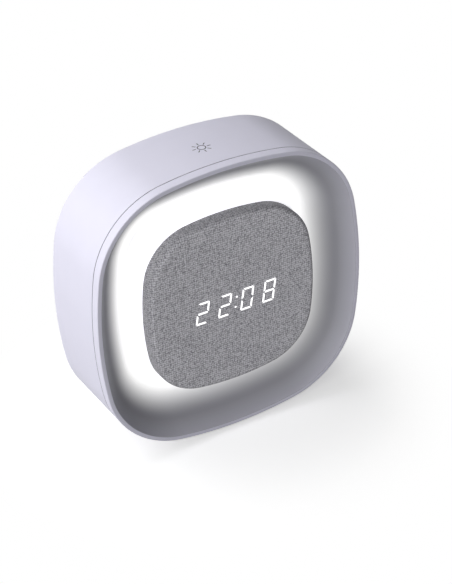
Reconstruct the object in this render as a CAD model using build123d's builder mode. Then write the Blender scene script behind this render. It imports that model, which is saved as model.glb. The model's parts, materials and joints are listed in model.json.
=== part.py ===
from build123d import *

import math
import os

# Night light alarm clock, in millimetres. X points right, Y backwards and Z up, as seen from the front.
# The origin is under the middle of the clock, on the surface that it stands on.
# A depth is measured backwards from the plane of the front rim, a height upwards from the middle of the case.

# Case
case_width = 130.0
case_depth = 44.0
case_side_radius = 180.5
case_corner_radius = 40.8
case_wall = 2.0
back_edge_radius = 3.0
seam_depth = 4.8
seam_gap = 0.3
lap_wall = 0.8
lap_fit = 0.15
tongue_length = 3.6
overrun = 1.0

# Rim and bowl
rim_width = 2.0
rim_edge_radius = 0.4
rim_inner_radius = 0.3
bowl_radius = 50.0
bowl_wall = 1.4

# Display
display_width = 82.0
display_side_radius = 119.0
display_corner_radius = 25.2
display_edge_radius = 2.3
display_proud = 0.8
display_back_depth = 6.2
fabric_thickness = 0.6
cap_wall = 1.4
display_back_thickness = 2.0
display_back_fit = 0.15
display_boss_margin = 8.0
display_boss_radius = 2.6
display_screw_sink = 1.0
ribbon_hole_radius = 8.0

# Digits: slanted bars with mitred ends, and two dots between the second and third digit
digit_place = (0.95, -1.4)
digit_height = 10.2
digit_width = 5.7
digit_pitch = 11.05
digit_slant = 10.0
bar_width = 0.85
bar_gap = 0.18
dot_radius = 0.45
dot_spacing = 4.85
guide_fit = 0.05
guide_gap = 0.5
reflector_margin = 3.0
display_board_margin = 4.0
display_board_thickness = 1.0
display_board_room = 0.2
display_led_size = 0.6
display_led_height = 0.5

# Stem that carries the display through the bowl
stem_radius = 17.0
stem_wall = 1.8
stem_fit = 0.3
stem_boss_radius = 2.6
stem_boss_length = 12.0
stem_screw_count = 3

# Light ring
baffle_gap = 1.0
diffuser_ledge = 1.8
diffuser_flange = 1.5
diffuser_fit = 0.1
mixing_depth = 4.5
baffle_wall = 1.2
ring_board_fit = 0.3
ring_board_thickness = 1.6
ring_led_count = 24
ring_led_width = 2.8
ring_led_length = 3.5
ring_led_height = 0.8

# Carrier plate
carrier_inset = 12.0
carrier_thickness = 1.6
carrier_boss_margin = 3.5
carrier_boss_rise = 14.0
carrier_boss_radius = 3.0
post_radius = 2.8

# Back cover and the shelf it lies on
cover_inset = 6.0
cover_fit = 0.15
cover_recess = 0.4
cover_thickness = 2.0
shelf_width = 3.0
shelf_thickness = 2.0
cover_boss_margin = 4.0
cover_boss_radius = 3.2
cover_boss_length = 11.0
cover_boss_rib = 2.0
cover_screw_sink = 1.2

# Control pocket in the back cover, inside the outline of the main board
pocket_side_margin = 2.0
pocket_end_margin = 5.0
pocket_corner = 8.0
pocket_depth = 1.0
pad_margin = 1.5
row_margin = 9.0
port_reach = 15.0

# Push buttons and their switches
button_pitch_share = 0.2
button_radius = 3.5
button_stand = 0.7
button_edge_radius = 0.4
button_fit = 0.3
button_travel = 0.5
flange_radius = 4.6
flange_thickness = 1.0
flange_gap = 0.1
plunger_radius = 1.7
plunger_stand = 1.4
plunger_sink = 1.6
plunger_fit = 0.1
plunger_room = 0.3
switch_width = 6.0
switch_height = 3.5

# Alarm slide switch
slide_travel = 3.0
slide_fit = 0.3
slide_stem_length = 2.2
slide_stem_width = 1.8
slide_stand = 0.6
slide_base_length = 3.4
slide_base_width = 2.8
slide_base_height = 1.4
slide_wall = 0.7
slide_edge_radius = 0.25

# Charging socket
usb_width = 8.94
usb_height = 3.26
usb_shell = 0.3
usb_recess = 0.2
usb_fit = 0.3
usb_base = 2.0
usb_base_fit = 0.05
usb_tongue_width = 6.6
usb_tongue_height = 0.7
usb_tongue_recess = 1.0

# Main board in the lower half of the case, and what it carries
works_room = 4.4
board_width_share = 0.57
board_top_drop = 2.0
board_bottom_margin = 15.0
board_thickness = 1.6
board_post_margin = 5.0
chip_width = 9.0
chip_height = 1.4
chip_place_shares = (0.08, -0.12)
part_length = 2.0
part_width = 1.25
part_height = 0.9
part_pitch = 5.0
part_columns = 3
part_rows = 3
part_place_shares = (-0.2, -0.17)
coil_radius = 3.0
coil_height = 2.6
coil_place_shares = (0.3, -0.17)

# Connectors and leads
connector_width = 6.0
connector_height = 6.0
connector_depth = 3.8
connector_drop = 1.0
ribbon_width = 8.0
ribbon_thickness = 0.3
ribbon_bend = 3.0
ribbon_connector_width = 10.0
ribbon_connector_height = 3.0
ribbon_connector_depth = 1.0
ribbon_lift = 0.5
lead_radius = 0.5
lead_pitch = 3.0
lead_stand = 2.2
header_width = 8.0
header_height = 2.5
header_fit = 0.3
header_margin = 7.0
header_drop = 12.0

# Lithium cell
cell_width = 50.0
cell_height = 34.0
cell_thickness = 4.6
cell_corner = 2.0
cell_place = (0.0, 30.0)
cell_lead_share = -0.25

# Speaker
speaker_place = (0.0, 28.0)
speaker_radius = 16.0
speaker_lip = 2.4
speaker_lip_height = 1.0
speaker_wall = 1.0
speaker_wall_height = 2.0
speaker_plate = 0.8
magnet_radius = 8.0
magnet_height = 1.8
coil_gap_radius = 5.2
pole_radius = 3.6
pole_drop = 2.2
former_radius = 4.6
former_wall = 0.4
former_end = 3.0
cone_paper = 0.4
cone_clearance = 0.6
cone_drop = 0.8
cap_drop = 0.8
terminal_width = 8.0
terminal_height = 4.0
terminal_depth = 1.4
grille_hole_radius = 0.8
grille_pitch = 3.2
grille_rings = 4
grille_ring_holes = 6

# Touch field under the top wall
touch_depth_share = 0.46
touch_width = 16.0
touch_length = 16.0
touch_thickness = 1.0
touch_glue = 0.1
touch_lead_gap = 1.1
touch_lead_bend = 1.5
touch_lead_margin = 3.0
touch_lead_knee = 40.0

# Feet
foot_stand = 1.2
foot_spread_share = 0.4
foot_width = 12.0
foot_length_share = 0.9
foot_sink = 0.8
foot_fit = 0.1
foot_edge = 0.5

# Screws: radius and height of the head, radius and length of the shank
cover_screw = (2.4, 1.1, 1.2, 8.0)
carrier_screw = (2.2, 1.3, 1.0, 6.0)
board_screw = (2.2, 1.3, 1.0, 4.0)
stem_screw = (2.0, 1.3, 1.0, 8.0)
display_screw = (1.9, 0.9, 0.9, 3.5)
screw_fit = 0.05
head_fit = 0.2
corner_screw_count = 4
recess_length_share = 1.2
recess_width_share = 0.3
recess_depth_share = 0.5

# Angles
quarter_turn = 90.0
corner_angle = 45.0

# Places worked out from the sizes above
case_half = case_width / 2
display_half = display_width / 2
rim_y = (display_proud - case_depth) / 2
centre_z = foot_stand + case_half
cover_outer_depth = case_depth - cover_recess
cover_inner_depth = cover_outer_depth - cover_thickness
shelf_depth = cover_inner_depth - shelf_thickness
pocket_floor_depth = cover_outer_depth - pocket_depth
pad_depth = cover_inner_depth - pocket_depth
flange_back_depth = pad_depth - flange_gap
plunger_tip_depth = flange_back_depth - flange_thickness
switch_top_depth = plunger_tip_depth - plunger_stand
board_back_depth = switch_top_depth - switch_height
board_front_depth = board_back_depth - board_thickness
carrier_back_depth = board_front_depth - works_room
carrier_depth = carrier_back_depth - carrier_thickness
ring_board_depth = carrier_depth - ring_board_thickness
diffuser_back_depth = ring_board_depth - mixing_depth
floor_back_depth = diffuser_back_depth - diffuser_flange
bowl_depth = floor_back_depth - bowl_wall
baffle_inset = carrier_inset + carrier_boss_margin + carrier_boss_radius + baffle_gap
opening_inset = baffle_inset + diffuser_ledge
bowl_run = baffle_inset - rim_width
bowl_chord = math.hypot(bowl_run, bowl_depth)
bowl_reach = math.sqrt(bowl_radius**2 - (bowl_chord / 2) ** 2)
bowl_arc_inset = rim_width + bowl_run / 2 + bowl_reach * bowl_depth / bowl_chord
bowl_arc_depth = bowl_depth / 2 - bowl_reach * bowl_run / bowl_chord
ring_led_reach = (case_half - baffle_inset + stem_radius) / 2
cap_front_depth = fabric_thickness - display_proud
cap_inset = fabric_thickness + cap_wall
reflector_depth = cap_front_depth + cap_wall
display_board_back_depth = display_back_depth - display_back_thickness - display_board_room
display_board_depth = display_board_back_depth - display_board_thickness
reflector_thickness = display_board_depth - reflector_depth
guide_length = cap_wall + reflector_thickness - display_led_height - guide_gap
lap_end_depth = seam_depth + tongue_length
foot_depth = (lap_end_depth + shelf_depth) / 2
foot_length = (shelf_depth - lap_end_depth) * foot_length_share
foot_spread = case_width * foot_spread_share
board_width = case_width * board_width_share
board_height = case_half - board_top_drop - board_bottom_margin
board_top = -board_top_drop
board_middle = board_top - board_height / 2
pocket_width = board_width - 2 * pocket_side_margin
pocket_height = board_height - 2 * pocket_end_margin
button_row = pocket_height / 2 - row_margin
button_height = board_middle + button_row
port_height = board_middle - button_row
switch_place = (-port_reach, port_height)
usb_place = (port_reach, port_height)
header_place = (header_margin - board_width / 2, board_top - header_drop)
connector_top = board_top - connector_drop
connector_middle = connector_top - connector_height / 2
ribbon_height = connector_top + ribbon_bend
lead_depth = board_back_depth + lead_stand
cell_lead_place = board_width * cell_lead_share
touch_depth = case_depth * touch_depth_share
touch_lead_place = speaker_place[0] + speaker_radius + touch_lead_margin
touch_lead_depth = carrier_back_depth + cell_thickness + touch_lead_gap
stem_boss_reach = stem_radius - stem_wall / 2 - stem_boss_radius


def corner_centre(half, side_radius, corner_radius):
    """Distance along each axis from the middle of a soft square to the centre of a corner arc."""
    side_offset = side_radius - half
    reach = side_radius - corner_radius
    return (math.sqrt(2 * reach**2 - side_offset**2) - side_offset) / 2


def corner_reach(half, side_radius, corner_radius):
    """Distance from the middle of a soft square to the tip of a corner."""
    return math.hypot(1, 1) * corner_centre(half, side_radius, corner_radius) + corner_radius


case_tip = corner_reach(case_half, case_side_radius, case_corner_radius)
cover_boss_reach = case_tip - cover_inset - cover_boss_margin
display_tip = corner_reach(display_half, display_side_radius, display_corner_radius)
display_boss_reach = display_tip - cap_inset - display_boss_margin


class SoftSquare(BaseSketchObject):
    """A square whose four sides and four corners are arcs, each tangent to the next."""

    def __init__(self, half, side_radius, corner_radius, mode=Mode.ADD):
        side_offset = side_radius - half
        corner = corner_centre(half, side_radius, corner_radius)
        side_angle = math.degrees(math.atan2(corner, corner + side_offset))
        with BuildSketch() as outline:
            with BuildLine():
                for quarter in range(4):
                    turn = quarter * quarter_turn
                    side_centre = Vector(-side_offset, 0).rotate(Axis.Z, turn)
                    arc_centre = Vector(corner, corner).rotate(Axis.Z, turn)
                    CenterArc(side_centre, side_radius, turn - side_angle, 2 * side_angle)
                    CenterArc(arc_centre, corner_radius, turn + side_angle, quarter_turn - 2 * side_angle)
            make_face()
        super().__init__(outline.sketch, mode=mode)


def case_outline(inset, mode=Mode.ADD):
    """Outline of the case, moved inwards by the inset."""
    half = case_half - inset
    return SoftSquare(half, case_side_radius - inset, case_corner_radius - inset, mode=mode)


def display_outline(inset, mode=Mode.ADD):
    """Outline of the display, moved inwards by the inset."""
    half = display_half - inset
    return SoftSquare(half, display_side_radius - inset, display_corner_radius - inset, mode=mode)


def at_depth(depth, x=0, height=0):
    """Plane that faces the front at a depth behind the rim, with its origin on the case axis or beside it."""
    return Plane(origin=(x, rim_y + depth, centre_z + height), x_dir=(1, 0, 0), z_dir=(0, -1, 0))


def facing_back(depth):
    """Plane that faces the back at a depth behind the rim."""
    return Plane(origin=(0, rim_y + depth, centre_z), x_dir=(-1, 0, 0), z_dir=(0, 1, 0))


def at_height(height):
    """Level plane at a height from the middle of the case, with Y measured from the rim plane."""
    return Plane(origin=(0, rim_y, centre_z + height))


def speaker_profile():
    """Plane for turned speaker parts: X is the radius, Y the distance ahead of the back cover."""
    across, height = speaker_place
    origin = (across, rim_y + cover_inner_depth, centre_z + height)
    return Plane(origin=origin, x_dir=(1, 0, 0), z_dir=(0, 0, -1))


speaker_axis = Axis(speaker_profile().origin, (0, 1, 0))


def front_edges(builder):
    """Edges of the foremost face of a part."""
    return builder.edges().group_by(Axis.Y)[0]


def back_edges(builder):
    """Edges of the rearmost face of a part."""
    return builder.edges().group_by(Axis.Y)[-1]


# Layout of the digits: the ends of each bar, as shares of the bar frame's half width and half height.
# The outer bars follow each other clockwise, so that the outside of the digit lies on their left.
outer_bar_shares = (
    ((-1, 1), (1, 1)),
    ((1, 1), (1, 0)),
    ((1, 0), (1, -1)),
    ((1, -1), (-1, -1)),
    ((-1, -1), (-1, 0)),
    ((-1, 0), (-1, 1)),
)
middle_bar_shares = ((-1, 0), (1, 0))
digit_place_shares = (-1.5, -0.5, 0.5, 1.5)
dot_place_shares = (-0.5, 0.5)
slant_rise = math.tan(math.radians(digit_slant))


def leaning(point, middle=0):
    """A point of an upright digit, moved to the digit's middle and slanted with it."""
    return (middle + point.X + point.Y * slant_rise, point.Y)


def bar_ends(end_shares):
    """The two ends of a bar's middle line on an upright digit."""
    half_width = (digit_width - bar_width) / 2
    half_height = (digit_height - bar_width) / 2
    return [Vector(across * half_width, up * half_height) for across, up in end_shares]


def mitre_lead(grow):
    """How far the mitre at a bar's end passes the end of its middle line, with a clearance all round."""
    return grow * math.hypot(1, 1) - bar_gap


def outer_bar(end_shares, grow):
    """The four corners of a bar on the outside of a digit, its ends mitred to those beside it."""
    start, end = bar_ends(end_shares)
    along = (end - start).normalized()
    half = bar_width / 2 + grow
    outside = along.rotate(Axis.Z, quarter_turn) * half
    first, last = (mitre_lead(grow) - (0 if up else bar_width / 2) for _, up in end_shares)
    return (
        start - along * (first + half) + outside,
        end + along * (last + half) + outside,
        end + along * (last - half) - outside,
        start - along * (first - half) - outside,
    )


def middle_bar(grow):
    """The six corners of the bar across a digit's middle, pointed at both ends."""
    start, end = bar_ends(middle_bar_shares)
    tip = Vector(mitre_lead(grow) + bar_width / 2, 0)
    half = bar_width / 2 + grow
    above = Vector(-half, half)
    below = Vector(half, half)
    return (
        start - tip,
        start - tip + below,
        end + tip + above,
        end + tip,
        end + tip - below,
        start - tip - above,
    )


def digit_bars(grow):
    """Corners of the seven bars of an upright digit, grown all round by a clearance."""
    return [outer_bar(end_shares, grow) for end_shares in outer_bar_shares] + [middle_bar(grow)]


def dot_places():
    """Middles of the two dots between the hours and the minutes."""
    return [leaning(Vector(0, share * dot_spacing)) for share in dot_place_shares]


def digit_marks(grow):
    """All bars and dots of the display, grown by a clearance."""
    with BuildSketch() as marks:
        for place_share in digit_place_shares:
            for corners in digit_bars(grow):
                with BuildLine():
                    Polyline(*[leaning(corner, place_share * digit_pitch) for corner in corners], close=True)
                make_face()
        with Locations(*dot_places()):
            Circle(dot_radius + grow)
    return marks.sketch


def mark_middles():
    """Middle of each bar and dot, where its light sits."""
    middles = dot_places()
    for place_share in digit_place_shares:
        for end_shares in (*outer_bar_shares, middle_bar_shares):
            start, end = bar_ends(end_shares)
            middles.append(leaning((start + end) / 2, place_share * digit_pitch))
    return middles


reflector_width = 3 * digit_pitch + digit_width + 2 * reflector_margin
reflector_height = digit_height + 2 * reflector_margin
display_board_width = reflector_width + 2 * display_board_margin
display_board_height = reflector_height + 2 * display_board_margin

# Places of what repeats, across and up from the middle of the case
carrier_boss_x = case_half - carrier_inset - carrier_boss_margin
four_corners = [(side, end) for side in (-1, 1) for end in (-1, 1)]
carrier_boss_places = [(side * carrier_boss_x, end * carrier_boss_rise) for side, end in four_corners]
post_x = board_width / 2 - board_post_margin
post_z = board_height / 2 - board_post_margin
post_places = [(side * post_x, board_middle + end * post_z) for side, end in four_corners]
button_names = ("time", "alarm", "plus", "minus")
button_place_shares = (-1.5, -0.5, 0.5, 1.5)
button_pitch = pocket_width * button_pitch_share
button_places = [(share * button_pitch, button_height) for share in button_place_shares]
polar_places = {
    "cover": (cover_boss_reach, corner_screw_count, corner_angle),
    "display": (display_boss_reach, corner_screw_count, corner_angle),
    "stem": (stem_boss_reach, stem_screw_count, -quarter_turn),
}


def on_board(place_shares):
    """A place across and up from the middle of the main board, from its shares of the board's size."""
    return (place_shares[0] * board_width, place_shares[1] * board_height)


def round_places(name):
    """Places on a circle, across and up from the middle of the case."""
    reach, count, first_angle = polar_places[name]
    turns = [math.radians(first_angle + index * 4 * quarter_turn / count) for index in range(count)]
    return [(reach * math.cos(turn), reach * math.sin(turn)) for turn in turns]


def screw_set(seat_depth, places, size):
    """Screws driven from behind: heads behind the seat, shanks ahead of it, a cross recess in each head."""
    head_radius, head_height, shank_radius, shank_length = size
    with BuildPart() as screws:
        with BuildSketch(at_depth(seat_depth + head_height)):
            with Locations(*places):
                Circle(head_radius)
        extrude(amount=head_height)
        with BuildSketch(at_depth(seat_depth)):
            with Locations(*places):
                Circle(shank_radius)
        extrude(amount=shank_length)
        with BuildSketch(at_depth(seat_depth + head_height)):
            with Locations(*places):
                Rectangle(head_radius * recess_length_share, head_radius * recess_width_share)
                Rectangle(head_radius * recess_width_share, head_radius * recess_length_share)
        extrude(amount=head_height * recess_depth_share, mode=Mode.SUBTRACT)
    return screws


def shank_hole(size):
    """Radius of the hole that a screw's shank fits."""
    return size[2] + screw_fit


def hole_depth(size, seat_thickness):
    """Depth of a blind hole for a screw that passes through a seat of the given thickness."""
    return size[3] - seat_thickness + screw_fit


pieces = {}

# Path once round the rim, and the plane of a section across it: X inwards, Y backwards
with BuildSketch(at_depth(0)) as rim_outline:
    case_outline(0)
rim_path = rim_outline.sketch.faces()[0].outer_wire()
rim_along = rim_path % 0
rim_section = Plane(origin=rim_path @ 0, x_dir=rim_along.cross(Vector(0, 1, 0)), z_dir=-rim_along)


def bowl_back_inset(depth):
    """Inset of the bowl's rear surface at a depth."""
    return bowl_arc_inset - math.sqrt((bowl_radius + bowl_wall) ** 2 - (depth - bowl_arc_depth) ** 2)


# Front shell: rim and bowl in one moulding, with a tongue that laps into the housing ring
core_inset = opening_inset + overrun
form_depth = seam_depth - overrun
with BuildPart() as bowl_form:
    with BuildSketch(rim_section):
        with BuildLine():
            form_start = (bowl_back_inset(form_depth), form_depth)
            form_end = (bowl_back_inset(floor_back_depth), floor_back_depth)
            RadiusArc(form_start, form_end, bowl_radius + bowl_wall)
            Polyline(form_end, (core_inset, floor_back_depth), (core_inset, form_depth), form_start)
        make_face()
    sweep(path=rim_path)

with BuildPart() as bowl_cavity:
    with BuildSketch(rim_section):
        with BuildLine():
            bowl_start = (rim_width, 0)
            bowl_end = (baffle_inset, bowl_depth)
            core_corners = ((core_inset, bowl_depth), (core_inset, -overrun), (rim_width, -overrun))
            RadiusArc(bowl_start, bowl_end, bowl_radius)
            Polyline(bowl_end, *core_corners, bowl_start)
        make_face()
    sweep(path=rim_path)
    with BuildSketch(at_depth(bowl_depth)):
        case_outline(opening_inset)
    extrude(amount=bowl_depth + overrun)

with BuildPart() as front_shell:
    with BuildSketch(at_depth(seam_depth)):
        case_outline(0)
    extrude(amount=seam_depth)
    fillet(front_edges(front_shell), radius=rim_edge_radius)
    with BuildSketch(at_depth(lap_end_depth)):
        case_outline(lap_wall + lap_fit)
        case_outline(case_wall, mode=Mode.SUBTRACT)
    extrude(amount=tongue_length)
    add(bowl_form.part)
    with BuildSketch(at_depth(carrier_depth)):
        with Locations(*carrier_boss_places):
            Circle(carrier_boss_radius)
    extrude(amount=carrier_depth - seam_depth)
    add(bowl_cavity.part, mode=Mode.SUBTRACT)
    with BuildSketch(at_depth(floor_back_depth + overrun)):
        case_outline(opening_inset)
    extrude(amount=bowl_wall + 2 * overrun, mode=Mode.SUBTRACT)
    with BuildSketch(at_depth(carrier_depth)):
        with Locations(*carrier_boss_places):
            Circle(shank_hole(carrier_screw))
    extrude(amount=hole_depth(carrier_screw, carrier_thickness), mode=Mode.SUBTRACT)
    rim_face = front_shell.faces().sort_by(Axis.Y)[0]
    fillet(rim_face.inner_wires()[0].edges(), radius=rim_inner_radius)
pieces["front_shell"] = front_shell


# Feet and their pockets
def foot_form(side, grow):
    """One foot, flat below and curved to the case above, grown all round by a clearance."""
    with BuildPart() as form:
        with BuildSketch(Plane.XY):
            with Locations((side * foot_spread / 2, rim_y + foot_depth)):
                SlotOverall(foot_length + 2 * grow, foot_width + 2 * grow, rotation=quarter_turn)
        extrude(amount=centre_z)
        with BuildSketch(at_depth(case_depth)):
            case_outline(foot_sink)
        extrude(amount=case_depth, mode=Mode.SUBTRACT)
    return form


for name, side in (("left_foot", -1), ("right_foot", 1)):
    with BuildPart() as foot:
        add(foot_form(side, 0).part)
        chamfer(foot.edges().group_by(Axis.Z)[0], length=foot_edge)
    pieces[name] = foot

# Housing ring: the sleeve behind the seam, with the shelf and bosses for the back cover
with BuildPart() as housing_ring:
    with BuildSketch(at_depth(case_depth)):
        case_outline(0)
    extrude(amount=case_depth - seam_depth - seam_gap)
    fillet(back_edges(housing_ring), radius=back_edge_radius)
    with BuildSketch(at_depth(shelf_depth)):
        case_outline(case_wall)
    extrude(amount=shelf_depth, mode=Mode.SUBTRACT)
    with BuildSketch(at_depth(lap_end_depth)):
        case_outline(lap_wall)
    extrude(amount=lap_end_depth, mode=Mode.SUBTRACT)
    with BuildSketch(at_depth(case_depth + overrun)):
        case_outline(cover_inset)
    extrude(amount=case_depth + overrun - cover_inner_depth, mode=Mode.SUBTRACT)
    with BuildSketch(at_depth(cover_inner_depth)):
        case_outline(cover_inset + shelf_width)
    extrude(amount=shelf_thickness, mode=Mode.SUBTRACT)
    with BuildSketch(at_depth(cover_inner_depth)):
        with Locations(*round_places("cover")):
            Circle(cover_boss_radius)
    extrude(amount=cover_boss_length)
    with BuildSketch(at_depth(shelf_depth)):
        with PolarLocations(cover_boss_reach, corner_screw_count, start_angle=corner_angle):
            Rectangle(
                cover_inset + cover_boss_margin - case_wall / 2,
                cover_boss_rib,
                align=(Align.MIN, Align.CENTER),
            )
    extrude(amount=cover_boss_length - 2 * shelf_thickness)
    with BuildSketch(at_depth(cover_inner_depth)):
        with Locations(*round_places("cover")):
            Circle(shank_hole(cover_screw))
    extrude(amount=cover_screw[3], mode=Mode.SUBTRACT)
    for side in (-1, 1):
        add(foot_form(side, foot_fit).part, mode=Mode.SUBTRACT)
pieces["housing_ring"] = housing_ring

# Back cover: plate with the control pocket, speaker grille and screw holes
with BuildPart() as back_cover:
    with BuildSketch(at_depth(cover_outer_depth)):
        case_outline(cover_inset + cover_fit)
    extrude(amount=cover_thickness)
    with BuildSketch(at_depth(cover_inner_depth, height=board_middle)):
        pad_width = pocket_width + 2 * pad_margin
        pad_height = pocket_height + 2 * pad_margin
        RectangleRounded(pad_width, pad_height, pocket_corner + pad_margin)
    extrude(amount=pocket_depth)
    with BuildSketch(at_depth(case_depth, height=board_middle)):
        RectangleRounded(pocket_width, pocket_height, pocket_corner)
    extrude(amount=case_depth - pocket_floor_depth, mode=Mode.SUBTRACT)
    with BuildSketch(at_depth(cover_outer_depth)):
        with Locations(*button_places):
            Circle(button_radius + button_fit)
        with Locations(switch_place):
            Rectangle(slide_stem_length + slide_travel + 2 * slide_fit, slide_stem_width + 2 * slide_fit)
        with Locations(usb_place):
            SlotOverall(usb_width + 2 * usb_fit, usb_height + 2 * usb_fit)
        with Locations(speaker_place):
            Circle(grille_hole_radius)
            for ring in range(1, grille_rings + 1):
                with PolarLocations(ring * grille_pitch, ring * grille_ring_holes):
                    Circle(grille_hole_radius)
    extrude(amount=cover_outer_depth - pad_depth + overrun, mode=Mode.SUBTRACT)
    with Locations(facing_back(cover_outer_depth)):
        with PolarLocations(cover_boss_reach, corner_screw_count, start_angle=corner_angle):
            CounterBoreHole(
                radius=shank_hole(cover_screw),
                counter_bore_radius=cover_screw[0] + head_fit,
                counter_bore_depth=cover_screw_sink,
                depth=cover_thickness + overrun,
            )
pieces["back_cover"] = back_cover
pieces["cover_screws"] = screw_set(cover_outer_depth - cover_screw_sink, round_places("cover"), cover_screw)

# Display: cloth over a cap, closed by a back plate on a hollow stem
with BuildPart() as display_fabric:
    with BuildSketch(at_depth(display_back_depth)):
        display_outline(0)
    extrude(amount=display_back_depth + display_proud)
    fillet(front_edges(display_fabric), radius=display_edge_radius)

with BuildPart() as display_block:
    with BuildSketch(at_depth(display_back_depth)):
        display_outline(fabric_thickness)
    extrude(amount=display_back_depth - cap_front_depth)
    fillet(front_edges(display_block), radius=display_edge_radius - fabric_thickness)

with BuildPart() as display_hollow:
    with BuildSketch(at_depth(display_back_depth)):
        display_outline(cap_inset)
    extrude(amount=display_back_depth - reflector_depth)
    fillet(front_edges(display_hollow), radius=display_edge_radius - cap_inset)

with display_fabric:
    add(display_block.part, mode=Mode.SUBTRACT)
pieces["display_fabric"] = display_fabric

with BuildPart() as display_cap:
    add(display_block.part)
    add(display_hollow.part, mode=Mode.SUBTRACT)
    with BuildSketch(at_depth(display_back_depth - display_back_thickness)):
        with Locations(*round_places("display")):
            Circle(display_boss_radius)
    extrude(amount=display_back_depth - display_back_thickness - reflector_depth)
    with BuildSketch(at_depth(display_back_depth - display_back_thickness)):
        with Locations(*round_places("display")):
            Circle(shank_hole(display_screw))
    extrude(
        amount=hole_depth(display_screw, display_back_thickness - display_screw_sink), mode=Mode.SUBTRACT
    )
    with BuildSketch(at_depth(reflector_depth, *digit_place)):
        add(digit_marks(guide_fit))
    extrude(amount=cap_wall, mode=Mode.SUBTRACT)
pieces["display_cap"] = display_cap

with BuildPart() as digit_light_guides:
    with BuildSketch(at_depth(cap_front_depth + guide_length, *digit_place)):
        add(digit_marks(0))
    extrude(amount=guide_length)
pieces["digit_light_guides"] = digit_light_guides

with BuildPart() as digit_reflector:
    with BuildSketch(at_depth(display_board_depth, *digit_place)):
        Rectangle(reflector_width, reflector_height)
        add(digit_marks(guide_fit), mode=Mode.SUBTRACT)
    extrude(amount=reflector_thickness)
pieces["digit_reflector"] = digit_reflector

with BuildPart() as display_board:
    with BuildSketch(at_depth(display_board_back_depth, *digit_place)):
        Rectangle(display_board_width, display_board_height)
    extrude(amount=display_board_thickness)
pieces["display_board"] = display_board

with BuildPart() as display_leds:
    with BuildSketch(at_depth(display_board_depth, *digit_place)):
        with Locations(*mark_middles()):
            Rectangle(display_led_size, display_led_size)
    extrude(amount=display_led_height)
pieces["display_leds"] = display_leds

with BuildPart() as display_back:
    with BuildSketch(at_depth(display_back_depth)):
        display_outline(cap_inset + display_back_fit)
    extrude(amount=display_back_thickness)
    with BuildSketch(at_depth(carrier_depth)):
        Circle(stem_radius)
        Circle(stem_radius - stem_wall, mode=Mode.SUBTRACT)
    extrude(amount=carrier_depth - display_back_depth)
    with BuildSketch(at_depth(carrier_depth)):
        with Locations(*round_places("stem")):
            Circle(stem_boss_radius)
            Circle(shank_hole(stem_screw), mode=Mode.SUBTRACT)
    extrude(amount=stem_boss_length)
    with BuildSketch(at_depth(display_back_depth)):
        Circle(ribbon_hole_radius)
    extrude(amount=display_back_thickness, mode=Mode.SUBTRACT)
    with Locations(facing_back(display_back_depth)):
        with PolarLocations(display_boss_reach, corner_screw_count, start_angle=corner_angle):
            CounterBoreHole(
                radius=shank_hole(display_screw),
                counter_bore_radius=display_screw[0] + head_fit,
                counter_bore_depth=display_screw_sink,
                depth=display_back_thickness,
            )
pieces["display_back"] = display_back
display_screw_depth = display_back_depth - display_screw_sink
pieces["display_screws"] = screw_set(display_screw_depth, round_places("display"), display_screw)

# Light ring: opal diffuser in the bowl's floor, with a board of lamps behind it inside a baffle
with BuildPart() as light_ring_diffuser:
    with BuildSketch(at_depth(diffuser_back_depth)):
        case_outline(baffle_inset)
    extrude(amount=diffuser_flange)
    with BuildSketch(at_depth(floor_back_depth)):
        case_outline(opening_inset + diffuser_fit)
    extrude(amount=bowl_wall)
    with BuildSketch(at_depth(diffuser_back_depth)):
        Circle(stem_radius + stem_fit)
    extrude(amount=diffuser_back_depth - bowl_depth, mode=Mode.SUBTRACT)
pieces["light_ring_diffuser"] = light_ring_diffuser

with BuildPart() as light_baffle:
    with BuildSketch(at_depth(carrier_depth)):
        case_outline(baffle_inset)
        case_outline(baffle_inset + baffle_wall, mode=Mode.SUBTRACT)
    extrude(amount=carrier_depth - diffuser_back_depth)
pieces["light_baffle"] = light_baffle

with BuildPart() as ring_light_board:
    with BuildSketch(at_depth(carrier_depth)):
        case_outline(baffle_inset + baffle_wall + ring_board_fit)
        Circle(stem_radius + stem_fit, mode=Mode.SUBTRACT)
    extrude(amount=ring_board_thickness)
pieces["ring_light_board"] = ring_light_board

with BuildPart() as ring_leds:
    with BuildSketch(at_depth(ring_board_depth)):
        with PolarLocations(ring_led_reach, ring_led_count):
            Rectangle(ring_led_width, ring_led_length)
    extrude(amount=ring_led_height)
pieces["ring_leds"] = ring_leds

# Carrier: plate screwed to the bowl, with posts for the main board
with BuildPart() as carrier:
    with BuildSketch(at_depth(carrier_back_depth)):
        case_outline(carrier_inset)
    extrude(amount=carrier_thickness)
    with BuildSketch(at_depth(board_front_depth)):
        with Locations(*post_places):
            Circle(post_radius)
    extrude(amount=board_front_depth - carrier_back_depth)
    with BuildSketch(at_depth(carrier_back_depth)):
        Circle(ribbon_hole_radius)
        with Locations(*carrier_boss_places):
            Circle(shank_hole(carrier_screw))
        with Locations(*round_places("stem")):
            Circle(shank_hole(stem_screw))
        with Locations(header_place):
            Rectangle(header_width + 2 * header_fit, header_height + 2 * header_fit)
    extrude(amount=carrier_thickness, mode=Mode.SUBTRACT)
    with BuildSketch(at_depth(board_front_depth)):
        with Locations(*post_places):
            Circle(shank_hole(board_screw))
    extrude(amount=hole_depth(board_screw, board_thickness), mode=Mode.SUBTRACT)
pieces["carrier"] = carrier
pieces["carrier_screws"] = screw_set(carrier_back_depth, carrier_boss_places, carrier_screw)
pieces["stem_screws"] = screw_set(carrier_back_depth, round_places("stem"), stem_screw)

with BuildPart() as light_header:
    with BuildSketch(at_depth(board_front_depth)):
        with Locations(header_place):
            Rectangle(header_width, header_height)
    extrude(amount=board_front_depth - carrier_depth)
pieces["light_header"] = light_header

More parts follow.
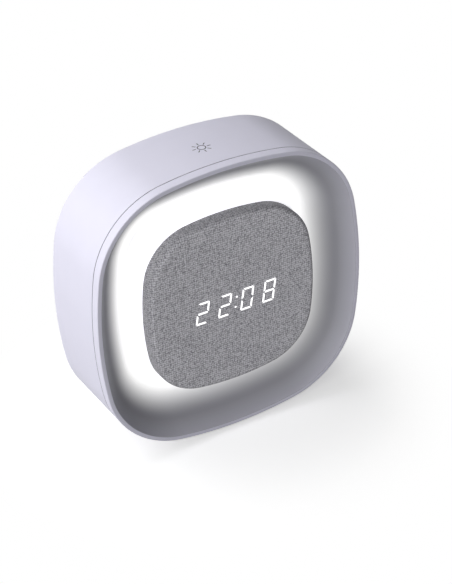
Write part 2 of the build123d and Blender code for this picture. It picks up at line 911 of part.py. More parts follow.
# Main board and its parts
with BuildPart() as main_board:
    with BuildSketch(at_depth(board_back_depth)):
        with Locations((0, board_middle)):
            Rectangle(board_width, board_height)
        with Locations(*post_places):
            Circle(shank_hole(board_screw), mode=Mode.SUBTRACT)
    extrude(amount=board_thickness)
pieces["main_board"] = main_board
pieces["board_screws"] = screw_set(board_back_depth, post_places, board_screw)

with BuildPart() as controller_chip:
    with BuildSketch(at_depth(board_front_depth, height=board_middle)):
        with Locations(on_board(chip_place_shares)):
            Rectangle(chip_width, chip_width)
    extrude(amount=chip_height)
pieces["controller_chip"] = controller_chip

with BuildPart() as board_components:
    with BuildSketch(at_depth(board_front_depth, height=board_middle)):
        with Locations(on_board(part_place_shares)):
            with GridLocations(part_pitch, part_pitch, part_columns, part_rows):
                Rectangle(part_length, part_width)
    extrude(amount=part_height)
    with BuildSketch(at_depth(board_front_depth, height=board_middle)):
        with Locations(on_board(coil_place_shares)):
            Circle(coil_radius)
    extrude(amount=coil_height)
pieces["board_components"] = board_components

with BuildPart() as tact_switches:
    with BuildSketch(at_depth(switch_top_depth)):
        with Locations(*button_places):
            Rectangle(switch_width, switch_width)
    extrude(amount=switch_height)
    with BuildSketch(at_depth(switch_top_depth)):
        with Locations(*button_places):
            Circle(plunger_radius + plunger_fit)
    extrude(amount=plunger_sink + button_travel + plunger_room, mode=Mode.SUBTRACT)
pieces["tact_switches"] = tact_switches

# Push buttons, each with the plunger of its switch
for name, place in zip(button_names, button_places):
    with BuildPart() as button:
        with BuildSketch(at_depth(flange_back_depth)):
            with Locations(place):
                Circle(flange_radius)
        extrude(amount=flange_thickness)
        with BuildSketch(at_depth(pocket_floor_depth + button_stand)):
            with Locations(place):
                Circle(button_radius)
        extrude(amount=pocket_floor_depth + button_stand - flange_back_depth)
        fillet(back_edges(button), radius=button_edge_radius)
    pieces[f"{name}_button"] = button
    with BuildPart() as plunger:
        with BuildSketch(at_depth(plunger_tip_depth)):
            with Locations(place):
                Circle(plunger_radius)
        extrude(amount=plunger_stand + plunger_sink)
    pieces[f"{name}_plunger"] = plunger

# Alarm slide switch: hollow case on the main board, knob with its stem through the cover
slide_room_length = slide_base_length + slide_travel + 2 * slide_fit
slide_room_width = slide_base_width + 2 * slide_fit
slide_room_height = slide_base_height + 2 * slide_fit
slide_case_height = slide_room_height + 2 * slide_wall
slide_knob_place = (-port_reach - slide_travel / 2, port_height)

with BuildPart() as alarm_switch_case:
    with BuildSketch(at_depth(board_back_depth + slide_case_height)):
        with Locations(switch_place):
            Rectangle(slide_room_length + 2 * slide_wall, slide_room_width + 2 * slide_wall)
    extrude(amount=slide_case_height)
    with BuildSketch(at_depth(board_back_depth + slide_wall + slide_room_height)):
        with Locations(switch_place):
            Rectangle(slide_room_length, slide_room_width)
    extrude(amount=slide_room_height, mode=Mode.SUBTRACT)
    with BuildSketch(at_depth(board_back_depth + slide_case_height)):
        with Locations(switch_place):
            Rectangle(slide_stem_length + slide_travel + 2 * slide_fit, slide_stem_width + 2 * slide_fit)
    extrude(amount=slide_wall, mode=Mode.SUBTRACT)
pieces["alarm_switch_case"] = alarm_switch_case

slide_base_depth = board_back_depth + slide_wall + slide_fit + slide_base_height
with BuildPart() as alarm_switch_knob:
    with BuildSketch(at_depth(slide_base_depth)):
        with Locations(slide_knob_place):
            Rectangle(slide_base_length, slide_base_width)
    extrude(amount=slide_base_height)
    with BuildSketch(at_depth(pocket_floor_depth + slide_stand)):
        with Locations(slide_knob_place):
            Rectangle(slide_stem_length, slide_stem_width)
    extrude(amount=pocket_floor_depth + slide_stand - slide_base_depth)
    fillet(back_edges(alarm_switch_knob), radius=slide_edge_radius)
pieces["alarm_switch_knob"] = alarm_switch_knob

# Charging socket that stands on the main board and opens in the pocket
usb_mouth_depth = pocket_floor_depth - usb_recess
with BuildPart() as usb_socket_shell:
    with BuildSketch(at_depth(usb_mouth_depth)):
        with Locations(usb_place):
            SlotOverall(usb_width, usb_height)
            SlotOverall(usb_width - 2 * usb_shell, usb_height - 2 * usb_shell, mode=Mode.SUBTRACT)
    extrude(amount=usb_mouth_depth - board_back_depth)
pieces["usb_socket_shell"] = usb_socket_shell

with BuildPart() as usb_socket_tongue:
    usb_inset = usb_shell + usb_base_fit
    with BuildSketch(at_depth(board_back_depth + usb_base)):
        with Locations(usb_place):
            SlotOverall(usb_width - 2 * usb_inset, usb_height - 2 * usb_inset)
    extrude(amount=usb_base)
    with BuildSketch(at_depth(usb_mouth_depth - usb_tongue_recess)):
        with Locations(usb_place):
            Rectangle(usb_tongue_width, usb_tongue_height)
    extrude(amount=usb_mouth_depth - usb_tongue_recess - board_back_depth - usb_base)
pieces["usb_socket_tongue"] = usb_socket_tongue

# Lithium cell on the carrier
with BuildPart() as battery_cell:
    with BuildSketch(at_depth(carrier_back_depth + cell_thickness)):
        with Locations(cell_place):
            RectangleRounded(cell_width, cell_height, cell_corner)
    extrude(amount=cell_thickness)
pieces["battery_cell"] = battery_cell

# Speaker, turned about its own axis and glued behind the grille
speaker_wall_radius = speaker_radius - speaker_lip
speaker_plate_drop = speaker_lip_height + speaker_wall_height
magnet_drop = speaker_plate_drop + speaker_plate

with BuildPart() as speaker_basket:
    with BuildSketch(speaker_profile()):
        with BuildLine():
            Polyline(
                (speaker_wall_radius, 0),
                (speaker_radius, 0),
                (speaker_radius, speaker_lip_height),
                (speaker_wall_radius + speaker_wall, speaker_lip_height),
                (speaker_wall_radius + speaker_wall, magnet_drop),
                (coil_gap_radius, magnet_drop),
                (coil_gap_radius, speaker_plate_drop),
                (speaker_wall_radius, speaker_plate_drop),
                close=True,
            )
        make_face()
    revolve(axis=speaker_axis)
    terminal_top = speaker_place[1] - speaker_wall_radius + terminal_height
    with BuildSketch(at_depth(cover_inner_depth - magnet_drop)):
        with Locations((speaker_place[0], terminal_top)):
            Rectangle(terminal_width, terminal_height, align=(Align.CENTER, Align.MAX))
    extrude(amount=terminal_depth)
pieces["speaker_basket"] = speaker_basket

with BuildPart() as speaker_magnet:
    with BuildSketch(speaker_profile()):
        with BuildLine():
            Polyline(
                (0, pole_drop),
                (pole_radius, pole_drop),
                (pole_radius, magnet_drop),
                (magnet_radius, magnet_drop),
                (magnet_radius, magnet_drop + magnet_height),
                (0, magnet_drop + magnet_height),
                close=True,
            )
        make_face()
    revolve(axis=speaker_axis)
pieces["speaker_magnet"] = speaker_magnet

cone_radius = speaker_wall_radius - cone_clearance
cone_inner_drop = cone_drop + cone_paper
with BuildPart() as speaker_cone:
    with BuildSketch(speaker_profile()):
        with BuildLine():
            Polyline(
                (0, cap_drop),
                (cone_radius, cone_drop),
                (cone_radius, cone_inner_drop),
                (former_radius, cone_inner_drop + cone_paper),
                (former_radius, former_end),
                (former_radius - former_wall, former_end),
                (former_radius - former_wall, cone_inner_drop),
                (0, cone_inner_drop),
                close=True,
            )
        make_face()
    revolve(axis=speaker_axis)
pieces["speaker_cone"] = speaker_cone

# Touch field: a copper pad on foam, glued under the top wall
touch_inset = case_wall + touch_glue
with BuildPart() as touch_electrode:
    with BuildSketch(at_depth(touch_depth + touch_length / 2)):
        case_outline(touch_inset)
        case_outline(touch_inset + touch_thickness, mode=Mode.SUBTRACT)
        with Locations((0, case_half)):
            Rectangle(touch_width, case_width, mode=Mode.INTERSECT)
    extrude(amount=touch_length)
pieces["touch_electrode"] = touch_electrode

# Connectors on the two boards
speaker_connector = (speaker_place[0], connector_middle)
touch_connector = (touch_lead_place, connector_middle)
cell_connector = (cell_lead_place, connector_middle)
ribbon_connector_height_place = connector_top - ribbon_connector_height / 2
with BuildPart() as wire_connectors:
    with BuildSketch(at_depth(board_back_depth + connector_depth)):
        with Locations(speaker_connector, touch_connector):
            Rectangle(connector_width, connector_height)
    extrude(amount=connector_depth)
    with BuildSketch(at_depth(board_front_depth)):
        with Locations(cell_connector):
            Rectangle(connector_width, connector_height)
    extrude(amount=connector_depth)
    with BuildSketch(at_depth(board_front_depth)):
        with Locations((0, ribbon_connector_height_place)):
            Rectangle(ribbon_connector_width, ribbon_connector_height)
    extrude(amount=ribbon_connector_depth)
    with BuildSketch(at_depth(display_board_back_depth + ribbon_connector_depth, height=ribbon_height)):
        Rectangle(ribbon_connector_width, ribbon_connector_height)
    extrude(amount=ribbon_connector_depth)
pieces["wire_connectors"] = wire_connectors

# Flat ribbon from the display board through the stem to the main board
ribbon_start_depth = display_board_back_depth + ribbon_connector_depth
ribbon_end_depth = board_front_depth - ribbon_lift
ribbon_route = (
    (0, rim_y + ribbon_start_depth, centre_z + ribbon_height),
    (0, rim_y + ribbon_end_depth, centre_z + ribbon_height),
    (0, rim_y + ribbon_end_depth, centre_z + connector_top),
)
with BuildPart() as display_ribbon:
    with BuildLine() as ribbon_path:
        FilletPolyline(*ribbon_route, radius=ribbon_bend)
    with BuildSketch(at_depth(ribbon_start_depth, height=ribbon_height)):
        Rectangle(ribbon_width, ribbon_thickness)
    sweep(path=ribbon_path.wires()[0])
pieces["display_ribbon"] = display_ribbon

# Leads of the cell and of the speaker, straight down to their connectors
cell_bottom = cell_place[1] - cell_height / 2
cell_lead_depth = carrier_back_depth + cell_thickness / 2
with BuildPart() as battery_leads:
    with BuildSketch(at_height(connector_top)):
        with Locations((cell_lead_place, cell_lead_depth)):
            with GridLocations(lead_pitch, 0, 2, 1):
                Circle(lead_radius)
    extrude(amount=cell_bottom - connector_top)
pieces["battery_leads"] = battery_leads

terminal_bottom = terminal_top - terminal_height
speaker_lead_depth = cover_inner_depth - magnet_drop - terminal_depth / 2
with BuildPart() as speaker_leads:
    with BuildSketch(at_height(connector_top)):
        with Locations((speaker_place[0], speaker_lead_depth)):
            with GridLocations(lead_pitch, 0, 2, 1):
                Circle(lead_radius)
    extrude(amount=terminal_bottom - connector_top)
pieces["speaker_leads"] = speaker_leads

# Lead of the touch field, round the cell to the main board
touch_back_depth = touch_depth + touch_length / 2
touch_height = case_half - touch_inset - touch_thickness / 2
touch_route = (
    (0, rim_y + touch_back_depth, centre_z + touch_height),
    (0, rim_y + touch_lead_depth, centre_z + touch_height),
    (touch_lead_place, rim_y + lead_depth, centre_z + touch_lead_knee),
    (touch_lead_place, rim_y + lead_depth, centre_z + connector_top),
)
with BuildPart() as touch_lead:
    with BuildLine() as touch_path:
        FilletPolyline(*touch_route, radius=touch_lead_bend)
    with BuildSketch(at_depth(touch_back_depth, height=touch_height)):
        Circle(lead_radius)
    sweep(path=touch_path.wires()[0])
pieces["touch_lead"] = touch_lead

os.makedirs("parts", exist_ok=True)
for name, piece in pieces.items():
    piece.part.label = name
    export_step(piece.part, f"parts/{name}.step")
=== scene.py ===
"""Dressed scene of a night light alarm clock.

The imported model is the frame. The two case shells, the cloth, the lit time and the printed signs are modelled
here, and every other node keeps its shape and gets its finish. Sizes are in millimetres and are turned into
metres where they are used.
"""

import json
import logging
import math
from dataclasses import dataclass
from enum import Enum
from typing import Iterable, Sequence

import bmesh
import bpy
from mathutils import Matrix, Vector


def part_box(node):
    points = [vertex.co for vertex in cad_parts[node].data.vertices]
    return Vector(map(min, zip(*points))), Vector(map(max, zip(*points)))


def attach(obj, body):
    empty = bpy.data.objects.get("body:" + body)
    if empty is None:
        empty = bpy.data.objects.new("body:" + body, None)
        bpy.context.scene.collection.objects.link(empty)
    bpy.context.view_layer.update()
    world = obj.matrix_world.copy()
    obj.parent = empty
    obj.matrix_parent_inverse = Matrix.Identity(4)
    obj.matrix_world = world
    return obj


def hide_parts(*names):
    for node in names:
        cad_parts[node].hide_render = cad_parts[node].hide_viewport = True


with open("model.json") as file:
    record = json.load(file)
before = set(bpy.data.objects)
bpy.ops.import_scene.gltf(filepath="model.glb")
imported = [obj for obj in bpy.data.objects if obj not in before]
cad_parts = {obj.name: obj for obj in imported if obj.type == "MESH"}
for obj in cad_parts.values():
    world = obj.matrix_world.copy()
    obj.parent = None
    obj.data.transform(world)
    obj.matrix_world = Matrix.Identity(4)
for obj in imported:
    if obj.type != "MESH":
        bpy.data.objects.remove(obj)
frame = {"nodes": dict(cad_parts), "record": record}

MM = 0.001
MERGE_DISTANCE = 1e-7
SHARP_ANGLE = math.radians(32.0)
NOISE_SPAN = (0.3, 0.7)
WEAVE_PLACE = "weave_place"
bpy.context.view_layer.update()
log = logging.getLogger("night_light_clock")

Pair = tuple[float, float]
Colour = tuple[float, float, float]
Stretch = tuple[float, float, float]
Spoke = tuple[float, float, float, float]
Plate = list[Pair]
Ring = list[bmesh.types.BMVert]
Socket = bpy.types.NodeSocket
Sockets = dict[str, object]
Material = bpy.types.Material


@dataclass(frozen=True)
class Anchor:
    """The middle of the plane of the front rim, from which depths and heights are measured."""

    rim_y: float
    centre_z: float

    @classmethod
    def from_frame(cls) -> "Anchor":
        """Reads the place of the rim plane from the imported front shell."""
        low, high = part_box("front_shell")
        return cls(low[1], (low[2] + high[2]) / 2)

    def point(self, across: float, depth: float, height: float) -> Vector:
        """A point of the shared frame in metres, by its distances right of, behind and above the anchor."""
        return Vector((across * MM, self.rim_y + depth * MM, self.centre_z + height * MM))


@dataclass(frozen=True)
class SoftSquare:
    """A square with bowed sides and round corners, whose insets share their arc centres."""

    half: float
    side_radius: float
    corner_radius: float
    side_steps: int = 24
    corner_steps: int = 44

    @property
    def side_offset(self) -> float:
        """Distance from the middle to the centre of a side arc, away from that side."""
        return self.side_radius - self.half

    @property
    def corner(self) -> float:
        """Distance along each axis to the centre of a corner arc."""
        reach = self.side_radius - self.corner_radius
        return (math.sqrt(2 * reach**2 - self.side_offset**2) - self.side_offset) / 2

    @property
    def side_angle(self) -> float:
        """Half the angle that a side arc spans."""
        return math.atan2(self.corner, self.corner + self.side_offset)

    def spokes(self) -> list[Spoke]:
        """Arc centre, radius and direction of each point round the outline.

        Returns:
            One tuple of centre across, centre height, radius and angle for each point.
        """
        found = []
        for quarter in range(4):
            turn = quarter * math.pi / 2
            cos, sin = math.cos(turn), math.sin(turn)
            side = (-self.side_offset * cos, -self.side_offset * sin)
            bend = (self.corner * (cos - sin), self.corner * (sin + cos))
            for step in range(self.side_steps):
                angle = turn - self.side_angle + 2 * self.side_angle * step / self.side_steps
                found.append((*side, self.side_radius, angle))
            span = math.pi / 2 - 2 * self.side_angle
            for step in range(self.corner_steps):
                angle = turn + self.side_angle + span * step / self.corner_steps
                found.append((*bend, self.corner_radius, angle))
        return found

    def ring(self, inset: float) -> list[Pair]:
        """Points round the outline, moved inwards.

        Args:
            inset: How far the outline is moved inwards.

        Returns:
            Places across and up from the middle.
        """
        return [
            (x + (radius - inset) * math.cos(angle), z + (radius - inset) * math.sin(angle))
            for x, z, radius, angle in self.spokes()
        ]


CASE_OUTLINE = SoftSquare(half=65.0, side_radius=180.5, corner_radius=40.8)
CLOTH_OUTLINE = SoftSquare(half=41.0, side_radius=119.0, corner_radius=25.2)


def arc(centre: Pair, radius: float, start: float, end: float, steps: int) -> list[Pair]:
    """Points on an arc of a profile.

    Args:
        centre: Inset and depth of the centre.
        radius: Radius of the arc.
        start: First angle in degrees, from the direction of growing inset towards growing depth.
        end: Last angle in degrees.
        steps: Number of steps between them.

    Returns:
        Insets and depths along the arc, both ends included.
    """
    turns = [math.radians(start + (end - start) * step / steps) for step in range(steps + 1)]
    return [(centre[0] + radius * math.cos(turn), centre[1] + radius * math.sin(turn)) for turn in turns]


def band(mesh: bmesh.types.BMesh, ring: Ring, following: Ring) -> None:
    """Lays a band of faces between two rings.

    Args:
        mesh: The mesh that the faces go into.
        ring: The vertices of one ring, in order.
        following: As many vertices of the other ring.
    """
    for index in range(len(ring)):
        after = (index + 1) % len(ring)
        mesh.faces.new((ring[index], ring[after], following[after], following[index]))


def joined(meshes: Iterable[bpy.types.Mesh]) -> bmesh.types.BMesh:
    """Puts several meshes into one bmesh and removes them.

    Args:
        meshes: The meshes, in the shared frame.

    Returns:
        The bmesh that holds them all.
    """
    whole = bmesh.new()
    for mesh in meshes:
        whole.from_mesh(mesh)
        bpy.data.meshes.remove(mesh)
    return whole


def linked(name: str, data: bpy.types.ID) -> bpy.types.Object:
    """Makes an object and links it to the scene.

    Args:
        name: Name of the object.
        data: Its mesh, lamp or camera.

    Returns:
        The new object.
    """
    made = bpy.data.objects.new(name, data)
    bpy.context.scene.collection.objects.link(made)
    return made


def piece(name: str, mesh: bmesh.types.BMesh, material: Material) -> bpy.types.Object:
    """Turns a finished bmesh into a shaded object at the origin.

    Args:
        name: Name of the new piece.
        mesh: The geometry in the shared frame, which is freed here.
        material: The finish of the whole piece.

    Returns:
        The new object, linked to the scene.
    """
    bmesh.ops.recalc_face_normals(mesh, faces=mesh.faces)
    for face in mesh.faces:
        face.smooth = True
    for edge in mesh.edges:
        edge.smooth = len(edge.link_faces) == 2 and edge.calc_face_angle() < SHARP_ANGLE
    data = bpy.data.meshes.new(name)
    mesh.to_mesh(data)
    mesh.free()
    data.materials.append(material)
    log.info("built %s with %d faces", name, len(data.polygons))
    return linked(name, data)


class NodeLayer:
    """Adds nodes to a tree and links them up."""

    def __init__(self, tree: bpy.types.NodeTree) -> None:
        """Takes the tree that the nodes go into."""
        self.tree = tree

    def node(self, kind: str, inputs: dict | None = None, **settings: object) -> bpy.types.Node:
        """Adds a node.

        Args:
            kind: The node's type name.
            inputs: Values or other nodes' sockets for its inputs, by name or number.
            settings: Properties of the node.

        Returns:
            The new node.
        """
        made = self.tree.nodes.new(kind)
        for key, value in settings.items():
            setattr(made, key, value)
        for key, value in (inputs or {}).items():
            self.feed(made.inputs[key], value)
        return made

    def feed(self, socket: Socket, value: object) -> None:
        """Links a socket to another one, or sets its value.

        Args:
            socket: The input that is fed.
            value: The other socket, or the value.
        """
        if isinstance(value, bpy.types.NodeSocket):
            self.tree.links.new(value, socket)
        else:
            socket.default_value = value

    def out(self, kind: str, inputs: dict | None = None, **settings: object) -> Socket:
        """Adds a node and hands over its first output."""
        return self.node(kind, inputs, **settings).outputs[0]

    def sum(self, operation: str, *values: object) -> Socket:
        """One step of arithmetic on numbers or sockets, given by the operation's name."""
        return self.out("ShaderNodeMath", dict(enumerate(values)), operation=operation)

    def vectors(self, operation: str, *values: object) -> Socket:
        """One step of arithmetic on vectors or sockets, given by the operation's name."""
        return self.out("ShaderNodeVectorMath", dict(enumerate(values)), operation=operation)

    def measured(self, operation: str, *values: object) -> Socket:
        """A number worked out from vectors, such as a length, given by the operation's name."""
        inputs = dict(enumerate(values))
        return self.node("ShaderNodeVectorMath", inputs, operation=operation).outputs["Value"]

    def scaled(self, vector: object, share: object) -> Socket:
        """A vector or a colour times a number."""
        return self.out("ShaderNodeVectorMath", {0: vector, "Scale": share}, operation="SCALE")

    def split(self, vector: Socket) -> bpy.types.NodeOutputs:
        """The parts of a vector, under the names X, Y and Z."""
        return self.node("ShaderNodeSeparateXYZ", {0: vector}).outputs

    def vector(self, x: object = 0.0, y: object = 0.0, z: object = 0.0) -> Socket:
        """A vector of three numbers or sockets."""
        return self.out("ShaderNodeCombineXYZ", {0: x, 1: y, 2: z})

    def mix(self, share: object, first: object, second: object) -> Socket:
        """A number between two, by a share from 0 to 1."""
        return self.out("ShaderNodeMix", {"Factor": share, 2: first, 3: second})

    def ranged(self, value: object, before: Pair, after: Pair, easing: str = "LINEAR") -> Socket:
        """A value carried from one range to another and held inside it."""
        inputs = {"Value": value, 1: before[0], 2: before[1], 3: after[0], 4: after[1]}
        return self.node("ShaderNodeMapRange", inputs, interpolation_type=easing).outputs["Result"]


class NodeBench(NodeLayer):
    """Lays out the nodes of one material round its main shader."""

    def __init__(self, name: str) -> None:
        """Starts an empty material with its shader and its place on the object.

        Args:
            name: Name of the material.
        """
        self.material = bpy.data.materials.new(name)
        self.material.use_nodes = True
        super().__init__(self.material.node_tree)
        self.shader = self.tree.nodes["Principled BSDF"]
        self.place = self.node("ShaderNodeTexCoord").outputs["Object"]

    def noise(self, size: float, detail: float = 2.0, place: Socket | None = None) -> Socket:
        """Cloudy noise whose patches are about as wide as the size in millimetres."""
        inputs = {"Vector": place or self.place, "Scale": 1 / (size * MM), "Detail": detail}
        return self.node("ShaderNodeTexNoise", inputs).outputs["Fac"]

    def stretched(self, shares: Sequence[float], place: Socket | None = None) -> Socket:
        """The place on the object, drawn out along its axes by the given factors."""
        return self.vectors("MULTIPLY", place or self.place, tuple(shares))

    def uneven(self, patches: Socket, middle: float, below: float, above: float) -> Socket:
        """A value that goes with noise from a little below its middle to a little above it."""
        return self.ranged(patches, NOISE_SPAN, (middle - below, middle + above))

    def blend(self, share: object, first: Colour, second: Colour) -> Socket:
        """A colour between two, by a share from 0 to 1."""
        inputs = {"Factor": share, 6: (*first, 1.0), 7: (*second, 1.0)}
        return self.node("ShaderNodeMix", inputs, data_type="RGBA").outputs[2]

    def tinted(self, patches: Socket, colour: Colour, low: float, high: float) -> Socket:
        """A colour that goes with noise between two tones of itself, given as factors."""
        return self.blend(patches, shaded(colour, low), shaded(colour, high))

    def bump(self, height: Socket, depth: float) -> Socket:
        """A bumped normal, whose relief is as deep as the depth in millimetres."""
        return self.out("ShaderNodeBump", {"Height": height, "Distance": depth * MM, "Strength": 1.0})

    def dress(self, sockets: Sockets) -> Material:
        """Feeds the shader.

        Args:
            sockets: Values and sockets for its inputs, by name.

        Returns:
            The finished material.
        """
        for key, value in sockets.items():
            self.feed(self.shader.inputs[key], value)
        return self.material


def shaded(colour: Colour, factor: float) -> Colour:
    """A colour made darker or lighter by a factor."""
    return tuple(min(1.0, channel * factor) for channel in colour)


@dataclass(frozen=True)
class Finish:
    """What a piece looks like: the name of its material, its main colour and what feeds its shader."""

    name: str
    colour: Colour

    def sockets(self, bench: NodeBench) -> Sockets:
        """A plain colour, in place of which each kind of finish lays out its own nodes."""
        return {"Base Color": (*self.colour, 1.0)}

    def material(self) -> Material:
        """Makes the material."""
        bench = NodeBench(self.name)
        return bench.dress(self.sockets(bench))


@dataclass(frozen=True)
class MouldedPlastic(Finish):
    """Moulded plastic with a fine eroded grain and a faint cloudiness."""

    roughness: float = 0.46
    grain: float = 0.28
    grain_depth: float = 0.006
    cloud: float = 0.02
    shine: float = 0.5

    def sockets(self, bench: NodeBench) -> Sockets:
        """Lays out clouds, scuffs and grain.

        Args:
            bench: The material's bench.

        Returns:
            Values and sockets for the shader, by name.
        """
        clouds = bench.noise(size=11.0, detail=3.0)
        scuffs = bench.noise(size=3.2, detail=4.0)
        return {
            "Base Color": bench.tinted(clouds, self.colour, low=1 - self.cloud, high=1 + self.cloud),
            "Roughness": bench.uneven(scuffs, self.roughness, below=0.04, above=0.05),
            "Normal": bench.bump(bench.noise(self.grain), self.grain_depth),
            "Specular IOR Level": self.shine,
        }


@dataclass(frozen=True, kw_only=True)
class SeamedPlastic(MouldedPlastic):
    """Case plastic with shade painted along its front end, inside the seam."""

    seam_y: float
    seam_shade: float = 0.45
    seam_blur: float = 0.02

    def sockets(self, bench: NodeBench) -> Sockets:
        """Paints shade on the plastic ahead of the seam's place.

        Args:
            bench: The material's bench.

        Returns:
            Values and sockets for the shader, by name.
        """
        found = super().sockets(bench)
        depth = bench.split(bench.place)["Y"]
        reach = (self.seam_y, self.seam_y + self.seam_blur * MM)
        # painted shade: the end face inside the seam is darkened
        shade = bench.ranged(depth, reach, (self.seam_shade, 1.0))
        found["Base Color"] = bench.scaled(found["Base Color"], shade)
        return found


@dataclass(frozen=True, kw_only=True)
class GlowPaintedBowlPlastic(MouldedPlastic):
    """Case plastic with the light ring's glow painted into it as emission, over the bowl's floor and up its
    wall.

    The bowl's wall is an arc, so the half size of the bowl at a depth says how far up the wall a place lies.
    The fade of the painted glow and the reach of the shade painted on the wall are given by that half size.
    """

    anchor: Anchor
    arc_half: float
    arc_depth: float
    arc_radius: float
    fade_reach: Pair = (46.0, 57.4)
    fade_power: float = 1.59
    glow_colour: Colour = (1.0, 1.0, 0.97)
    glow_limit: float = 0.89
    glow_softness: float = 0.26
    glow_strength: float = 1.0
    wall_shade_colour: Colour = (0.3, 0.3, 0.323)
    wall_shade_reach: Pair = (58.0, 73.0)
    wall_shade_facing: Pair = (-0.03, -0.005)

    def sockets(self, bench: NodeBench) -> Sockets:
        """Adds the painted glow and the painted wall shade to the plastic.

        Args:
            bench: The material's bench.

        Returns:
            Values and sockets for the shader, by name.
        """
        found = super().sockets(bench)
        half = self.half_size(bench)
        found["Base Color"] = self.painted_wall_shade(bench, half, found["Base Color"])
        # painted light: the light ring's glow on the bowl, painted as emission
        found["Emission Color"] = self.glow(bench, half)
        found["Emission Strength"] = self.glow_strength
        return found

    def half_size(self, bench: NodeBench) -> Socket:
        """The half size that the bowl has at the depth of each place.

        Args:
            bench: The material's bench.

        Returns:
            The half size in millimetres.
        """
        behind = bench.sum("SUBTRACT", bench.split(bench.place)["Y"], self.anchor.rim_y)
        drop = bench.sum("SUBTRACT", bench.sum("MULTIPLY", behind, 1 / MM), self.arc_depth)
        square = bench.sum("SUBTRACT", self.arc_radius**2, bench.sum("MULTIPLY", drop, drop))
        return bench.sum("ADD", bench.sum("SQRT", bench.sum("MAXIMUM", square, 0.0)), self.arc_half)

    def glow(self, bench: NodeBench, half: Socket) -> Socket:
        """Painted light: emission standing for the light ring's glow, even over the floor and fading up the
        wall.

        Args:
            bench: The material's bench.
            half: The bowl's half size at each place.

        Returns:
            The colour of the light.
        """
        near = bench.ranged(half, self.fade_reach, (1.0, 0.0))
        fade = bench.sum("POWER", near, self.fade_power)
        level = bench.sum("SMOOTH_MIN", fade, self.glow_limit, self.glow_softness)
        return bench.scaled(self.glow_colour, level)

    def painted_wall_shade(self, bench: NodeBench, half: Socket, shell: Socket) -> Socket:
        """The plastic's colour with painted shade on faces that look into the bowl.

        Args:
            bench: The material's bench.
            half: The bowl's half size at each place.
            shell: The colour of the plastic elsewhere.

        Returns:
            The colour of the whole moulding.
        """
        middle = (0.0, 0.0, self.anchor.centre_z)
        aside = bench.stretched((1.0, 0.0, 1.0), bench.vectors("SUBTRACT", bench.place, middle))
        facing = bench.node("ShaderNodeNewGeometry").outputs["True Normal"]
        inside = bench.ranged(bench.measured("DOT_PRODUCT", facing, aside), self.wall_shade_facing, (1.0, 0.0))
        # painted shade: inward-facing wall faces darken deeper in the bowl, fading out towards the rim
        wall_shade_share = bench.sum("MULTIPLY", bench.ranged(half, self.wall_shade_reach, (1.0, 0.0)), inside)
        shades = {"Factor": wall_shade_share, 6: shell, 7: (*self.wall_shade_colour, 1.0)}
        return bench.node("ShaderNodeMix", shades, data_type="RGBA").outputs[2]


@dataclass(frozen=True)
class OpalLamp(Finish):
    """Opal plastic lit from behind, a little uneven as the lamps behind it are."""

    strength: float
    roughness: float = 0.5

    def sockets(self, bench: NodeBench) -> Sockets:
        """Lays out the lit patches.

        Args:
            bench: The material's bench.

        Returns:
            Values and sockets for the shader, by name.
        """
        tone = bench.tinted(bench.noise(size=6.0), self.colour, low=0.96, high=1.0)
        return {
            "Base Color": tone,
            "Roughness": bench.uneven(bench.noise(size=1.5), self.roughness, below=0.05, above=0.05),
            "Normal": bench.bump(bench.noise(size=0.4), depth=0.005),
            "Emission Color": tone,
            "Emission Strength": self.strength,
        }


